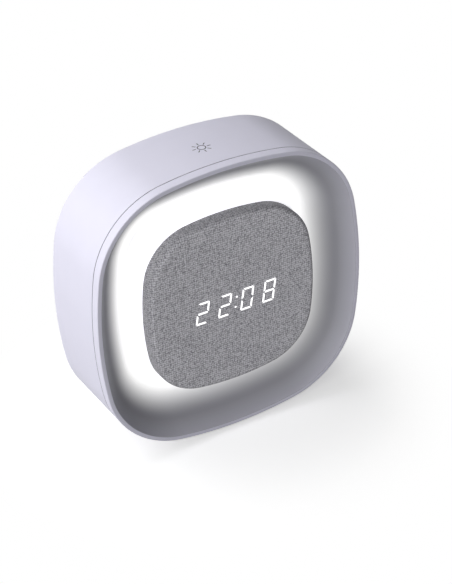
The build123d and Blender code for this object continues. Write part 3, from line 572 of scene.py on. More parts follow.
@dataclass(frozen=True)
class WovenCloth(Finish):
    """Plain weave of yarns from the main colour to a lighter one, laid out on the cloth's own attribute."""

    light: Colour
    pitch: float = 1.05
    relief: float = 0.04
    wobble_size: float = 2.4
    wobble_reach: float = 0.22
    yarn_stretch: Stretch = (0.95, 0.2, 1.0)
    yarn_span: Pair = (0.28, 0.72)
    yarn_coarseness: float = 0.6
    flecks_per_thread: float = 2.0
    fleck_share: float = 0.7
    rib_floor: float = 0.3
    crown_span: Pair = (0.0, 0.7)
    crown_shade: Pair = (0.55, 1.0)
    tone_span: Pair = (0.13, 0.62)
    turn_span: Pair = (-0.98, -0.75)
    turn_shade: Pair = (1.0, 0.75)
    fuzz_size: float = 0.12
    fuzz_share: float = 0.35
    rough_range: Pair = (0.86, 0.98)
    sheen: float = 0.15
    sheen_roughness: float = 0.5

    def sockets(self, bench: NodeBench) -> Sockets:
        """Lays out threads, flecks and fuzz, with painted shade between threads and round the display's edge.

        Args:
            bench: The material's bench.

        Returns:
            Values and sockets for the shader, by name.
        """
        place = bench.node("ShaderNodeAttribute", attribute_name=WEAVE_PLACE).outputs["Vector"]
        moved = self.wobbled(bench, place)
        threads = bench.stretched((1 / (self.pitch * MM),) * 3, moved)
        across, along = (self.rib(bench, bench.split(threads)[axis]) for axis in "XY")
        crown = bench.sum("MULTIPLY", bench.ranged(across, (0.0, 1.0), (self.rib_floor, 1.0)), along)
        share = bench.ranged(self.yarns(bench, threads), self.tone_span, (0.0, 1.0))
        # painted shade: darker where the cloth turns away from the front, round the display's edge
        facing = bench.node("ShaderNodeNewGeometry").outputs["Normal"]
        turned = bench.ranged(bench.split(facing)["Y"], self.turn_span, self.turn_shade)
        # painted shade: darker at each thread's edges, between the threads
        painted_cloth_shade = bench.sum("MULTIPLY", bench.ranged(crown, self.crown_span, self.crown_shade), turned)
        fuzz = bench.noise(self.fuzz_size, detail=3.0, place=moved)
        height = bench.sum("ADD", crown, bench.sum("MULTIPLY", fuzz, self.fuzz_share))
        return {
            "Base Color": bench.scaled(bench.blend(share, self.colour, self.light), painted_cloth_shade),
            "Roughness": bench.ranged(fuzz, NOISE_SPAN, self.rough_range),
            "Normal": bench.bump(height, self.relief),
            "Sheen Weight": self.sheen,
            "Sheen Roughness": self.sheen_roughness,
        }

    def wobbled(self, bench: NodeBench, place: Socket) -> Socket:
        """The place in the weave, moved a little so that no thread runs quite straight.

        Args:
            bench: The material's bench.
            place: The place in the flat weave.

        Returns:
            The moved place.
        """
        inputs = {"Vector": place, "Scale": 1 / (self.wobble_size * MM), "Detail": 1.0}
        waves = bench.node("ShaderNodeTexNoise", inputs).outputs["Color"]
        drift = bench.vectors("SUBTRACT", waves, (0.5,) * 3)
        return bench.vectors("ADD", place, bench.stretched((self.wobble_reach * MM,) * 3, drift))

    @staticmethod
    def rib(bench: NodeBench, run: Socket) -> Socket:
        """Rise and fall over each thread, from 0 at its edges to 1 on its crown."""
        return bench.sum("SINE", bench.sum("MULTIPLY", bench.sum("FRACT", run), math.pi))

    def yarns(self, bench: NodeBench, threads: Socket) -> Socket:
        """The tone of the yarn that lies on top, with its flecks.

        Args:
            bench: The material's bench.
            threads: The place in the weave, counted in threads.

        Returns:
            The tone, from 0 for dark to 1 for light.
        """
        split = bench.split(threads)
        column, row = (bench.sum("FLOOR", split[axis]) for axis in "XY")
        over = bench.sum("FLOORED_MODULO", bench.sum("ADD", column, row), 2.0)
        along, aside, through = self.yarn_stretch
        tones = []
        for stretch in ((along, aside, through), (aside, along, through)):
            drawn = bench.stretched(stretch, threads)
            inputs = {"Vector": drawn, "Scale": 1.0, "Detail": 2.0, "Roughness": self.yarn_coarseness}
            noise = bench.node("ShaderNodeTexNoise", inputs).outputs["Fac"]
            tones.append(bench.ranged(noise, self.yarn_span, (0.0, 1.0)))
        fibres = bench.vectors("FLOOR", bench.stretched((self.flecks_per_thread,) * 3, threads))
        fleck = bench.node("ShaderNodeTexWhiteNoise", {"Vector": fibres}).outputs["Value"]
        return bench.mix(self.fleck_share, bench.mix(over, *tones), fleck)


@dataclass(frozen=True)
class PrintedInk(Finish):
    """Screen print, slightly uneven, with a satin face."""

    roughness: float = 0.55

    def sockets(self, bench: NodeBench) -> Sockets:
        """Lays out the wear of the print.

        Args:
            bench: The material's bench.

        Returns:
            Values and sockets for the shader, by name.
        """
        return {
            "Base Color": bench.tinted(bench.noise(size=0.5, detail=3.0), self.colour, low=0.85, high=1.2),
            "Roughness": bench.uneven(bench.noise(size=0.2), self.roughness, below=0.06, above=0.06),
            "Normal": bench.bump(bench.noise(size=0.15), depth=0.004),
        }


@dataclass(frozen=True)
class SoftRubber(Finish):
    """Soft matt rubber with a dusty bloom."""

    bloom: float = 1.5
    dust_span: Pair = (0.45, 0.7)
    rough_range: Pair = (0.72, 0.92)

    def sockets(self, bench: NodeBench) -> Sockets:
        """Lays out the dust.

        Args:
            bench: The material's bench.

        Returns:
            Values and sockets for the shader, by name.
        """
        dust = bench.ranged(bench.noise(size=2.5, detail=5.0), self.dust_span, (0.0, 1.0))
        return {
            "Base Color": bench.tinted(dust, self.colour, low=1.0, high=self.bloom),
            "Roughness": bench.ranged(dust, (0.0, 1.0), self.rough_range),
            "Normal": bench.bump(bench.noise(size=0.3, detail=3.0), depth=0.02),
        }


class Lay(Enum):
    """Direction in which a metal face is brushed or drawn, as factors on the object's axes."""

    ACROSS = (0.06, 1.0, 1.0)
    UP = (1.0, 1.0, 0.06)
    NONE = (1.0, 1.0, 1.0)


@dataclass(frozen=True)
class WorkedMetal(Finish):
    """Plated, stamped or rolled metal with fine lines along its lay."""

    lay: Lay = Lay.NONE
    roughness: float = 0.3
    polish: float = 0.1
    wear: float = 0.12
    line_span: Pair = (0.25, 0.75)

    def sockets(self, bench: NodeBench) -> Sockets:
        """Lays out the lines and stains.

        Args:
            bench: The material's bench.

        Returns:
            Values and sockets for the shader, by name.
        """
        lines = bench.noise(size=0.15, place=bench.stretched(self.lay.value))
        smooth, rough = self.roughness - self.polish, self.roughness + self.wear
        return {
            "Base Color": bench.tinted(bench.noise(size=4.0, detail=4.0), self.colour, low=0.9, high=1.06),
            "Roughness": bench.ranged(lines, self.line_span, (smooth, rough)),
            "Metallic": 1.0,
            "Normal": bench.bump(lines, depth=0.004),
        }


@dataclass(frozen=True)
class BoardLaminate(Finish):
    """Lacquered circuit board with paler tracks under the lacquer."""

    track: float = 1.7
    pitch: float = 2.2
    track_edge: Pair = (0.08, 0.12)
    roughness: float = 0.3
    lacquer: float = 0.3

    def sockets(self, bench: NodeBench) -> Sockets:
        """Lays out the tracks.

        Args:
            bench: The material's bench.

        Returns:
            Values and sockets for the shader, by name.
        """
        inputs = {"Vector": bench.place, "Scale": 1 / (self.pitch * MM)}
        cells = bench.node("ShaderNodeTexVoronoi", inputs, feature="DISTANCE_TO_EDGE")
        tracks = bench.ranged(cells.outputs["Distance"], self.track_edge, (1.0, 0.0))
        return {
            "Base Color": bench.tinted(tracks, self.colour, low=1.0, high=self.track),
            "Roughness": bench.uneven(bench.noise(size=1.2), self.roughness, below=0.06, above=0.06),
            "Normal": bench.bump(tracks, depth=0.03),
            "Coat Weight": self.lacquer,
        }


@dataclass(frozen=True)
class PressedPaper(Finish):
    """Pressed paper of a loudspeaker cone, with fibres."""

    fibre_stretch: Stretch = (0.4, 1.0, 1.0)
    roughness: float = 0.85

    def sockets(self, bench: NodeBench) -> Sockets:
        """Lays out the fibres.

        Args:
            bench: The material's bench.

        Returns:
            Values and sockets for the shader, by name.
        """
        fibres = bench.noise(size=0.35, detail=5.0, place=bench.stretched(self.fibre_stretch))
        return {
            "Base Color": bench.tinted(fibres, self.colour, low=0.7, high=1.5),
            "Roughness": self.roughness,
            "Normal": bench.bump(fibres, depth=0.03),
        }


SHELL_COLOUR = (0.74, 0.73, 0.845)
SHELL_SHINE = 0.05
FINISHES = {
    "shell_plastic": MouldedPlastic("shell_plastic_finish", SHELL_COLOUR, shine=SHELL_SHINE),
    "cover_plastic": MouldedPlastic(
        "cover_plastic_finish", shaded(SHELL_COLOUR, 0.96), roughness=0.55, grain=0.4, grain_depth=0.012
    ),
    "button_plastic": MouldedPlastic(
        "button_plastic_finish", shaded(SHELL_COLOUR, 0.86), roughness=0.4, grain=0.2, grain_depth=0.004
    ),
    "white_plastic": MouldedPlastic("white_plastic_finish", (0.78, 0.78, 0.78), roughness=0.45),
    "dark_plastic": MouldedPlastic(
        "dark_plastic_finish", (0.03, 0.03, 0.033), roughness=0.5, grain=0.3, grain_depth=0.01, cloud=0.1
    ),
    "chip_plastic": MouldedPlastic(
        "chip_resin_finish", (0.022, 0.022, 0.023), roughness=0.55, grain=0.12, cloud=0.1
    ),
    "ribbon_film": MouldedPlastic(
        "ribbon_film_finish", (0.62, 0.55, 0.36), roughness=0.3, grain=0.6, grain_depth=0.004
    ),
    "foot_rubber": SoftRubber("foot_rubber_finish", (0.07, 0.07, 0.075)),
    "lead_sleeve": SoftRubber("lead_sleeve_finish", (0.28, 0.02, 0.02), bloom=1.2),
    "screw_steel": WorkedMetal("screw_steel_finish", (0.48, 0.48, 0.50), roughness=0.34),
    "socket_steel": WorkedMetal("socket_steel_finish", (0.62, 0.62, 0.63), Lay.ACROSS, roughness=0.26),
    "magnet_metal": WorkedMetal("magnet_plating_finish", (0.30, 0.30, 0.31), Lay.UP),
    "cell_foil": WorkedMetal("cell_foil_finish", (0.66, 0.67, 0.68), Lay.UP, roughness=0.36),
    "copper_foil": WorkedMetal("copper_foil_finish", (0.72, 0.40, 0.26), Lay.ACROSS),
    "board_laminate": BoardLaminate("board_laminate_finish", (0.02, 0.14, 0.06)),
    "lamp_resin": OpalLamp("lamp_resin_finish", (0.95, 0.92, 0.72), strength=0.8),
    "digit_glow": OpalLamp("light_guide_finish", (0.97, 0.97, 1.0), strength=1.0, roughness=0.3),
    "opal_plastic": OpalLamp("opal_diffuser_finish", (0.97, 0.97, 0.97), strength=0.62),
    "cone_paper": PressedPaper("cone_paper_finish", (0.02, 0.02, 0.02)),
    "display_cloth": WovenCloth(
        "display_cloth_finish", (0.325, 0.321, 0.359), light=(0.82, 0.81, 0.864)
    ),
}


class FinishRack:
    """Makes each finish's material once and keeps it."""

    def __init__(self) -> None:
        """Starts with no material made."""
        self.made: dict[str, Material] = {}

    def get(self, slot: str) -> Material:
        """The material of a slot of the record, made at its first use.

        Args:
            slot: Name of the slot.

        Returns:
            The material.
        """
        if slot not in self.made:
            self.made[slot] = FINISHES[slot].material()
        return self.made[slot]

    def dress_nodes(self) -> None:
        """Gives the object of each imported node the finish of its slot."""
        for row in frame["record"]["subparts"]:
            node = frame["nodes"][row["node"]]
            finish = self.get(row["material_slot"])
            for slot in node.material_slots:
                slot.material = finish
            log.info("dressed %s as %s", node.name, finish.name)


@dataclass
class CaseShells:
    """The two mouldings of the case, each a profile carried round the soft square."""

    anchor: Anchor
    outline: SoftSquare = CASE_OUTLINE
    depth: float = 44.0
    wall: float = 2.0
    seam: float = 4.8
    seam_gap: float = 0.3
    seam_break: float = 0.1
    rim_width: float = 2.0
    rim_outer_radius: float = 0.4
    rim_inner_radius: float = 0.3
    bowl_depth: float = 18.0
    bowl_radius: float = 50.0
    bowl_wall: float = 1.4
    floor_inset: float = 19.5
    opening_inset: float = 21.3
    lap_wall: float = 0.8
    lap_fit: float = 0.15
    lap_end: float = 8.4
    back_radius: float = 3.0
    cover_inset: float = 6.0
    shelf_width: float = 3.0
    shelf_front: float = 39.6
    shelf_back: float = 41.6
    support: float = 0.25
    rim_steps: int = 6
    lip_steps: int = 5
    bowl_steps: int = 64
    back_steps: int = 12

    def bowl_centre(self) -> Pair:
        """Where the arc of the bowl's wall, from the rim down to the floor, has its centre.

        Returns:
            Inset and depth of the centre.
        """
        run = self.floor_inset - self.rim_width
        chord = math.hypot(run, self.bowl_depth)
        reach = math.sqrt(self.bowl_radius**2 - (chord / 2) ** 2)
        inset = self.rim_width + run / 2 + reach * self.bowl_depth / chord
        return inset, self.bowl_depth / 2 - reach * run / chord

    def front_profile(self) -> list[Pair]:
        """The section of the rim and bowl.

        Returns:
            Insets and depths round it, from the seam forwards and inwards.
        """
        outer, inner = self.rim_outer_radius, self.rim_inner_radius
        centre = self.bowl_centre()
        start = math.degrees(math.atan2(-centre[1], self.rim_width - centre[0]))
        end = math.degrees(math.atan2(self.bowl_depth - centre[1], self.floor_inset - centre[0]))
        cut = inner * math.tan(math.radians((start - 90.0) / 2))
        back_radius = self.bowl_radius + self.bowl_wall
        back_depth = self.bowl_depth + self.bowl_wall
        seam_angle = 180.0 - math.degrees(math.asin((self.seam - centre[1]) / back_radius))
        floor_angle = 180.0 - math.degrees(math.asin((back_depth - centre[1]) / back_radius))
        tongue = self.lap_wall + self.lap_fit
        points = [(self.seam_break, self.seam), (0.0, self.seam - self.seam_break)]
        points += [(0.0, outer + self.support)]
        points += arc((outer, outer), outer, 180.0, 270.0, self.rim_steps)
        points += arc((self.rim_width - cut, inner), inner, 270.0, start + 180.0, self.lip_steps)
        lip_end = start - math.degrees(2 * cut / self.bowl_radius)
        points += arc(centre, self.bowl_radius, lip_end, end, self.bowl_steps)
        points += [(self.floor_inset + self.support, self.bowl_depth), (self.opening_inset, self.bowl_depth)]
        points += [(self.opening_inset, back_depth)]
        points += arc(centre, back_radius, floor_angle, seam_angle, self.bowl_steps // 2)
        points += [(self.wall, self.seam), (self.wall, self.lap_end)]
        points += [(tongue, self.lap_end), (tongue, self.seam)]
        return points

    def sleeve_profile(self) -> list[Pair]:
        """The section of the sleeve.

        Returns:
            Insets and depths round it, from the seam backwards and inwards.
        """
        start = self.seam + self.seam_gap
        shelf_inset = self.cover_inset + self.shelf_width
        middle = (start + self.depth) / 2
        points = [(self.seam_break, start), (0.0, start + self.seam_break)]
        points += [(0.0, start + 3 * self.seam_break), (0.0, middle)]
        points += [(0.0, self.depth - self.back_radius - self.support)]
        back_centre = (self.back_radius, self.depth - self.back_radius)
        points += arc(back_centre, self.back_radius, 180.0, 90.0, self.back_steps)
        points += [(self.back_radius + self.support, self.depth), (self.cover_inset, self.depth)]
        points += [(self.cover_inset, self.shelf_back), (shelf_inset, self.shelf_back)]
        points += [(shelf_inset, self.shelf_front), (self.wall, self.shelf_front)]
        points += [(self.wall, self.lap_end), (self.lap_wall, self.lap_end), (self.lap_wall, start)]
        return points

    def swept(self, name: str, profile: Iterable[Pair], material: Material) -> bpy.types.Object:
        """Carries a closed profile round the outline.

        Args:
            name: Name of the piece.
            profile: Insets and depths of the section, in order.
            material: The finish.

        Returns:
            The closed ring of that section.
        """
        mesh = bmesh.new()
        rings = []
        for inset, depth in profile:
            places = [self.anchor.point(x, depth, z) for x, z in self.outline.ring(inset)]
            rings.append([mesh.verts.new(place) for place in places])
        for ring, following in zip(rings, rings[1:] + rings[:1]):
            band(mesh, ring, following)
        return piece(name, mesh, material)

    def build(self) -> None:
        """Builds both mouldings in place of their nodes."""
        inset, depth = self.bowl_centre()
        # the bowl's plastic carries a painted glow and painted shade on its wall
        lit = GlowPaintedBowlPlastic(
            "lit_bowl_finish",
            SHELL_COLOUR,
            shine=SHELL_SHINE,
            anchor=self.anchor,
            arc_half=self.outline.half - inset,
            arc_depth=depth,
            arc_radius=self.bowl_radius,
        )
        seam_end = self.seam + self.seam_gap + self.seam_break
        # the sleeve's plastic carries painted shade inside the seam
        seamed = SeamedPlastic(
            "case_sleeve_finish",
            SHELL_COLOUR,
            shine=SHELL_SHINE,
            seam_y=self.anchor.rim_y + seam_end * MM,
        )
        bowl = self.swept("rim_and_bowl", self.front_profile(), lit.material())
        sleeve = self.swept("case_sleeve", self.sleeve_profile(), seamed.material())
        for made, node in ((bowl, "front_shell"), (sleeve, "housing_ring")):
            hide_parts(node)
            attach(made, "case")


@dataclass
class ClothDisplay:
    """The cloth stretched over the display cap."""

    anchor: Anchor
    rack: FinishRack
    outline: SoftSquare = CLOTH_OUTLINE
    front: float = -0.75
    back: float = 6.2
    edge_radius: float = 2.3
    edge_steps: int = 14
    hem_radius: float = 0.3
    thickness: float = 0.5
    support: float = 0.4
    middle_insets: tuple[float, ...] = (6.0, 10.0, 15.0, 20.0, 24.0)

    def __post_init__(self) -> None:
        """Starts the cloth's mesh, with the attribute that holds the place in the weave."""
        self.mesh = bmesh.new()
        self.layer = self.mesh.verts.layers.float_vector.new(WEAVE_PLACE)
        self.spokes = self.outline.spokes()

    def half_profile(self, sink: float) -> list[tuple[float, float, float]]:
        """One face of the cloth from its hem to the flat front.

        Args:
            sink: How far the face lies inside the outer one.

        Returns:
            Inset, depth, and distance along the cloth outwards from the flat front, for each ring.
        """
        radius = self.edge_radius - sink
        turn_depth = self.front + self.edge_radius
        quarter = radius * math.pi / 2
        side = self.back - self.hem_radius
        points = [(sink, side, quarter + side - turn_depth)]
        points += [(sink, turn_depth + self.support, quarter + self.support)]
        edge = arc((self.edge_radius, turn_depth), radius, 180.0, 270.0, self.edge_steps)
        for step, (inset, depth) in enumerate(edge):
            points.append((inset, depth, quarter * (1 - step / self.edge_steps)))
        for inset in (self.edge_radius + self.support, *self.middle_insets):
            points.append((inset, self.front + sink, self.edge_radius - inset))
        return points

    def ring(self, inset: float, depth: float, run: float) -> Ring:
        """One ring of the cloth, with its place in the weave.

        Args:
            inset: Inset of the ring.
            depth: Depth of the ring.
            run: Distance along the cloth outwards from the edge of the flat front.

        Returns:
            The ring's vertices.
        """
        verts = []
        for x, z, radius, angle in self.spokes:
            cos, sin = math.cos(angle), math.sin(angle)
            reach = radius - inset
            laid = radius - self.edge_radius + run
            vert = self.mesh.verts.new(self.anchor.point(x + reach * cos, depth, z + reach * sin))
            vert[self.layer] = Vector((x + laid * cos, z + laid * sin, 0.0)) * MM
            verts.append(vert)
        return verts

    def face(self, sink: float) -> list[Ring]:
        """One face of the cloth, closed in the middle.

        Args:
            sink: How far the face lies inside the outer one.

        Returns:
            The rings of the face, from the hem inwards.
        """
        rings = [self.ring(*point) for point in self.half_profile(sink)]
        for ring, following in zip(rings, rings[1:]):
            band(self.mesh, ring, following)
        self.mesh.faces.new(rings[-1])
        return rings

    def build(self) -> None:
        """Builds the cloth as a thin closed sheet with its hem turned at the back edge."""
        outer = self.face(0.0)
        inner = self.face(self.thickness)
        hem = self.ring(self.thickness / 2, self.back, self.back - self.front + self.edge_radius)
        band(self.mesh, outer[0], hem)
        band(self.mesh, hem, inner[0])
        cloth = piece("display_cloth", self.mesh, self.rack.get("display_cloth"))
        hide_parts("display_fabric")
        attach(cloth, "case")


class ShapeTree(NodeLayer):
    """Lays out a Geometry Nodes tree with named inputs."""

    def __init__(self, name: str, sizes: dict[str, float]) -> None:
        """Starts a tree with a geometry input and one input for each size.

        Args:
            name: Name of the tree.
            sizes: Value of each size, by its label.
        """
        super().__init__(bpy.data.node_groups.new(name, "GeometryNodeTree"))
        face = self.tree.interface
        face.new_socket("Geometry", in_out="INPUT", socket_type="NodeSocketGeometry")
        self.identifiers = {}
        for label, value in sizes.items():
            socket = face.new_socket(label, in_out="INPUT", socket_type="NodeSocketFloat")
            socket.default_value = value
            self.identifiers[label] = socket.identifier
        face.new_socket("Geometry", in_out="OUTPUT", socket_type="NodeSocketGeometry")
        self.given = self.node("NodeGroupInput").outputs

    def place(self) -> bpy.types.NodeOutputs:
        """The parts of the place of each point, under the names X, Y and Z."""
        return self.split(self.out("GeometryNodeInputPosition"))

    def together(self, *parts: Socket) -> Socket:
        """Several shapes as one.

        Args:
            parts: The shapes.

        Returns:
            The joined shape.
        """
        whole = self.node("GeometryNodeJoinGeometry")
        for part in parts:
            self.feed(whole.inputs[0], part)
        return whole.outputs[0]

    def thickened(self, plate: Socket, rise: Socket) -> Socket:
        """Gives a flat plate its thickness.

        Args:
            plate: The plate.
            rise: Its thickness.

        Returns:
            The block, closed on both sides.
        """
        raising = {"Mesh": plate, "Offset Scale": rise, "Individual": False}
        raised = self.node("GeometryNodeExtrudeMesh", raising).outputs["Mesh"]
        both = self.together(self.out("GeometryNodeFlipFaces", {"Mesh": plate}), raised)
        return self.out("GeometryNodeMergeByDistance", {0: both, "Distance": MERGE_DISTANCE})

    def spread(self, points: Socket, shape: Socket, turn: object = (0.0, 0.0, 0.0)) -> Socket:
        """An instance of a shape on each point, turned about the axes."""
        inputs = {"Points": points, "Instance": shape, "Rotation": turn}
        return self.out("GeometryNodeInstanceOnPoints", inputs)

    def real(self, instances: Socket) -> Socket:
        """Instances made into one plain shape."""
        return self.out("GeometryNodeRealizeInstances", {0: instances})

    def moved(self, shape: Socket, offset: Socket) -> Socket:
        """A shape with each point moved by an offset."""
        return self.out("GeometryNodeSetPosition", {0: shape, "Offset": offset})

    def close(self, shape: Socket, material: Material) -> None:
        """Makes the shape plain, sets its finish and ends the tree."""
        dressed = self.out("GeometryNodeSetMaterial", {"Geometry": self.real(shape), "Material": material})
        self.node("NodeGroupOutput", {0: dressed})

    def grow(
        self, name: str, points: Sequence[Vector], sizes: dict[str, float] | None = None
    ) -> bpy.types.Mesh:
        """Runs the tree on a set of points.

        Args:
            name: Name of the mesh.
            points: Places that the tree starts from, in the shared frame.
            sizes: Values for its named inputs, in place of the tree's own.

        Returns:
            The plain mesh that the tree makes.
        """
        seed = bpy.data.meshes.new(name + "_seed")
        seed.from_pydata([tuple(point) for point in points], [], [])
        holder = linked(name + "_seed", seed)
        modifier = holder.modifiers.new("grow", "NODES")
        modifier.node_group = self.tree
        for label, value in (sizes or {}).items():
            modifier[self.identifiers[label]] = value
        depsgraph = bpy.context.evaluated_depsgraph_get()
        mesh = bpy.data.meshes.new_from_object(holder.evaluated_get(depsgraph), depsgraph=depsgraph)
        mesh.name = name
        holder.modifiers.remove(modifier)
        bpy.data.objects.remove(holder)
        bpy.data.meshes.remove(seed)
        return mesh


class Cut(Enum):
    """How a bar ends: the share of its width by which its middle line goes further than at a corner."""

    CORNER = 0.0
    MIDDLE = -0.5
    POINT = 0.5


class Bar(Enum):
    """The seven bars: middle in shares of the frame's halves, quarter turns, and the cuts at both ends."""

    A = (0.0, 1.0, 0, Cut.CORNER, Cut.CORNER)
    B = (1.0, 0.5, -1, Cut.CORNER, Cut.MIDDLE)
    C = (1.0, -0.5, -1, Cut.MIDDLE, Cut.CORNER)
    D = (0.0, -1.0, 2, Cut.CORNER, Cut.CORNER)
    E = (-1.0, -0.5, 1, Cut.CORNER, Cut.MIDDLE)
    F = (-1.0, 0.5, 1, Cut.MIDDLE, Cut.CORNER)
    G = (0.0, 0.0, 0, Cut.POINT, Cut.POINT)


DIGIT_BARS = {"0": "ABCDEF", "2": "ABGED", "8": "ABCDEFG"}


@dataclass
class LitTime:
    """The lit bars and dots of the time, as they shine through the face of the cloth."""

    anchor: Anchor
    text: str = "2208"
    place: Pair = (0.95, -1.2)
    height: float = 10.6
    width: float = 5.7
    pitch: float = 11.05
    slant: float = 10.0
    bar_width: float = 0.82
    bar_gap: float = 0.32
    dot_radius: float = 0.45
    dot_sides: int = 24
    dot_spacing: float = 4.85
    front: float = -0.8
    rise: float = 0.06

    @property
    def lean(self) -> float:
        """How far the digits lean to the right for each step up."""
        return math.tan(math.radians(self.slant))

    def bar_tree(self, material: Material) -> ShapeTree:
        """A tree that sets a bar with cut ends on each point, turned and leaning.

        Args:
            material: The finish of the bars.

        Returns:
            The tree, with inputs for the bar's sizes, the cuts at its ends, its turn and its lean.
        """
        labels = ("Length", "Width", "Rise", "Start cut", "End cut", "Mitre", "Turn", "Lean", "Middle height")
        tree = ShapeTree("lit_bars", dict.fromkeys(labels, 0.0))
        given = tree.given
        hexagon = tree.out("GeometryNodeMeshCircle", {"Vertices": 6, "Radius": 1.0}, fill_type="NGON")
        corner = tree.place()
        end = tree.sum("SIGN", corner["X"])
        side = tree.sum("SIGN", tree.sum("SNAP", corner["Y"], 0.5))
        half = tree.sum("MULTIPLY", given["Width"], 0.5)
        cut = tree.mix(tree.sum("GREATER_THAN", end, 0.0), given["Start cut"], given["End cut"])
        pointed = tree.sum("MULTIPLY", tree.sum("ABSOLUTE", side), -1.0)
        slope = tree.mix(given["Mitre"], pointed, side)
        reach = tree.sum("ADD", tree.sum("MULTIPLY", given["Length"], 0.5), cut)
        x = tree.sum("MULTIPLY", end, tree.sum("ADD", reach, tree.sum("MULTIPLY", slope, half)))
        corners = tree.vector(x, tree.sum("MULTIPLY", side, half))
        plate = tree.out("GeometryNodeSetPosition", {0: hexagon, "Position": corners})
        turn = tree.vector(math.pi / 2, tree.sum("MULTIPLY", given["Turn"], -1.0), 0.0)
        bars = tree.real(tree.spread(given["Geometry"], tree.thickened(plate, given["Rise"]), turn))
        above = tree.sum("SUBTRACT", tree.place()["Z"], given["Middle height"])
        tree.close(tree.moved(bars, tree.vector(tree.sum("MULTIPLY", above, given["Lean"]))), material)
        return tree

    def dot_tree(self, material: Material) -> ShapeTree:
        """A tree that sets a round dot on each point.

        Args:
            material: The finish of the dots.

        Returns:
            The tree, with inputs for the dot's radius and thickness.
        """
        tree = ShapeTree("lit_dots", {"Radius": self.dot_radius * MM, "Rise": self.rise * MM})
        given = tree.given
        sizes = {"Vertices": self.dot_sides, "Radius": given["Radius"]}
        disc = tree.out("GeometryNodeMeshCircle", sizes, fill_type="NGON")
        block = tree.thickened(disc, given["Rise"])
        tree.close(tree.spread(given["Geometry"], block, (math.pi / 2, 0.0, 0.0)), material)
        return tree

    def spot(self, across: float, up: float) -> Vector:
        """A point on the plane that the bars stand on, from the middle of the time."""
        return self.anchor.point(self.place[0] + across, self.front + self.rise, self.place[1] + up)

    def lit_bars(self, tree: ShapeTree, bar: Bar) -> bpy.types.Mesh:
        """All lit bars of one kind.

        Args:
            tree: The tree that sets the bars.
            bar: The kind.

        Returns:
            One mesh with that bar of each digit that lights it.
        """
        across, up, quarters, start, end = bar.value
        frame_width = self.width - self.bar_width
        frame_height = self.height - self.bar_width
        points = []
        for index, digit in enumerate(self.text):
            middle = (index - (len(self.text) - 1) / 2) * self.pitch
            if bar.name in DIGIT_BARS[digit]:
                points.append(self.spot(middle + across * frame_width / 2, up * frame_height / 2))
        sizes = {
            "Length": (frame_height / 2 if quarters % 2 else frame_width) * MM,
            "Width": self.bar_width * MM,
            "Rise": self.rise * MM,
            "Start cut": (start.value * self.bar_width - self.bar_gap) * MM,
            "End cut": (end.value * self.bar_width - self.bar_gap) * MM,
            "Mitre": float(start is not Cut.POINT),
            "Turn": quarters * math.pi / 2,
            "Lean": self.lean,
            "Middle height": self.spot(0.0, 0.0).z,
        }
        return tree.grow(f"bars_{bar.name}", points, sizes)

    def build(self) -> None:
        """Builds all bars and dots as one piece."""
        material = OpalLamp("lit_time_finish", (1.0, 1.0, 1.0), strength=1.15, roughness=0.6).material()
        tree = self.bar_tree(material)
        meshes = [self.lit_bars(tree, bar) for bar in Bar]
        heights = (-self.dot_spacing / 2, self.dot_spacing / 2)
        dots = [self.spot(height * self.lean, height) for height in heights]
        meshes.append(self.dot_tree(material).grow("dots", dots))
        made = piece("lit_time", joined(meshes), material)
        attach(made, "case")


@dataclass
class TouchSign:
    """The brightness sign printed on top of the case: a ring with rays round it."""

    anchor: Anchor
    outline: SoftSquare = CASE_OUTLINE
    aside: float = -0.5
    depth: float = 20.3
    ring_radius: float = 1.8
    ring_steps: int = 64
    ray_count: int = 8
    ray_start: float = 2.6
    ray_end: float = 4.3
    ray_cuts: int = 5
    stroke: float = 0.42
    rise: float = 0.02
    sink: float = 0.04

    def tree(self, material: Material) -> ShapeTree:
        """A tree that draws the sign on each point and lays it on the bowed top.

        Args:
            material: The ink.

        Returns:
            The tree, with inputs for the ring, the rays and the stroke.
        """
        sizes = {
            "Ring radius": self.ring_radius * MM,
            "Ray start": self.ray_start * MM,
            "Ray end": self.ray_end * MM,
            "Stroke": self.stroke * MM,
        }
        tree = ShapeTree("touch_sign", sizes)
        given = tree.given
        thick = (self.rise + self.sink) * MM
        path = {"Resolution": self.ring_steps, "Radius": given["Ring radius"]}
        circle = tree.out("GeometryNodeCurvePrimitiveCircle", path)
        across = {"Width": given["Stroke"], "Height": thick}
        section = tree.out("GeometryNodeCurvePrimitiveQuadrilateral", across)
        ring = tree.out("GeometryNodeCurveToMesh", {0: circle, 1: section})
        length = tree.sum("SUBTRACT", given["Ray end"], given["Ray start"])
        block = {"Size": tree.vector(length, given["Stroke"], thick), "Vertices X": self.ray_cuts}
        ray = tree.node("GeometryNodeMeshCube", block).outputs["Mesh"]
        reach = tree.sum("MULTIPLY", tree.sum("ADD", given["Ray end"], given["Ray start"]), 0.5)
        wheel = tree.out("GeometryNodeMeshCircle", {"Vertices": self.ray_count, "Radius": reach})
        turn = tree.sum("MULTIPLY", tree.out("GeometryNodeInputIndex"), 2 * math.pi / self.ray_count)
        rays = tree.spread(wheel, ray, tree.vector(0.0, 0.0, turn))
        sign = tree.out("GeometryNodeGeometryToInstance", {0: tree.together(rays, ring)})
        printed = tree.real(tree.spread(given["Geometry"], sign))
        aside = tree.place()["X"]
        bow = tree.sum("DIVIDE", tree.sum("MULTIPLY", aside, aside), -2 * self.outline.side_radius * MM)
        tree.close(tree.moved(printed, tree.vector(0.0, 0.0, bow)), material)
        return tree

    def build(self) -> None:
        """Builds the sign on the top of the case."""
        ink = PrintedInk("sign_ink_finish", (0.03, 0.03, 0.04)).material()
        spot = self.anchor.point(self.aside, self.depth, self.outline.half + (self.rise - self.sink) / 2)
        made = piece("touch_sign", joined([self.tree(ink).grow("touch_sign", [spot])]), ink)
        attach(made, "case")


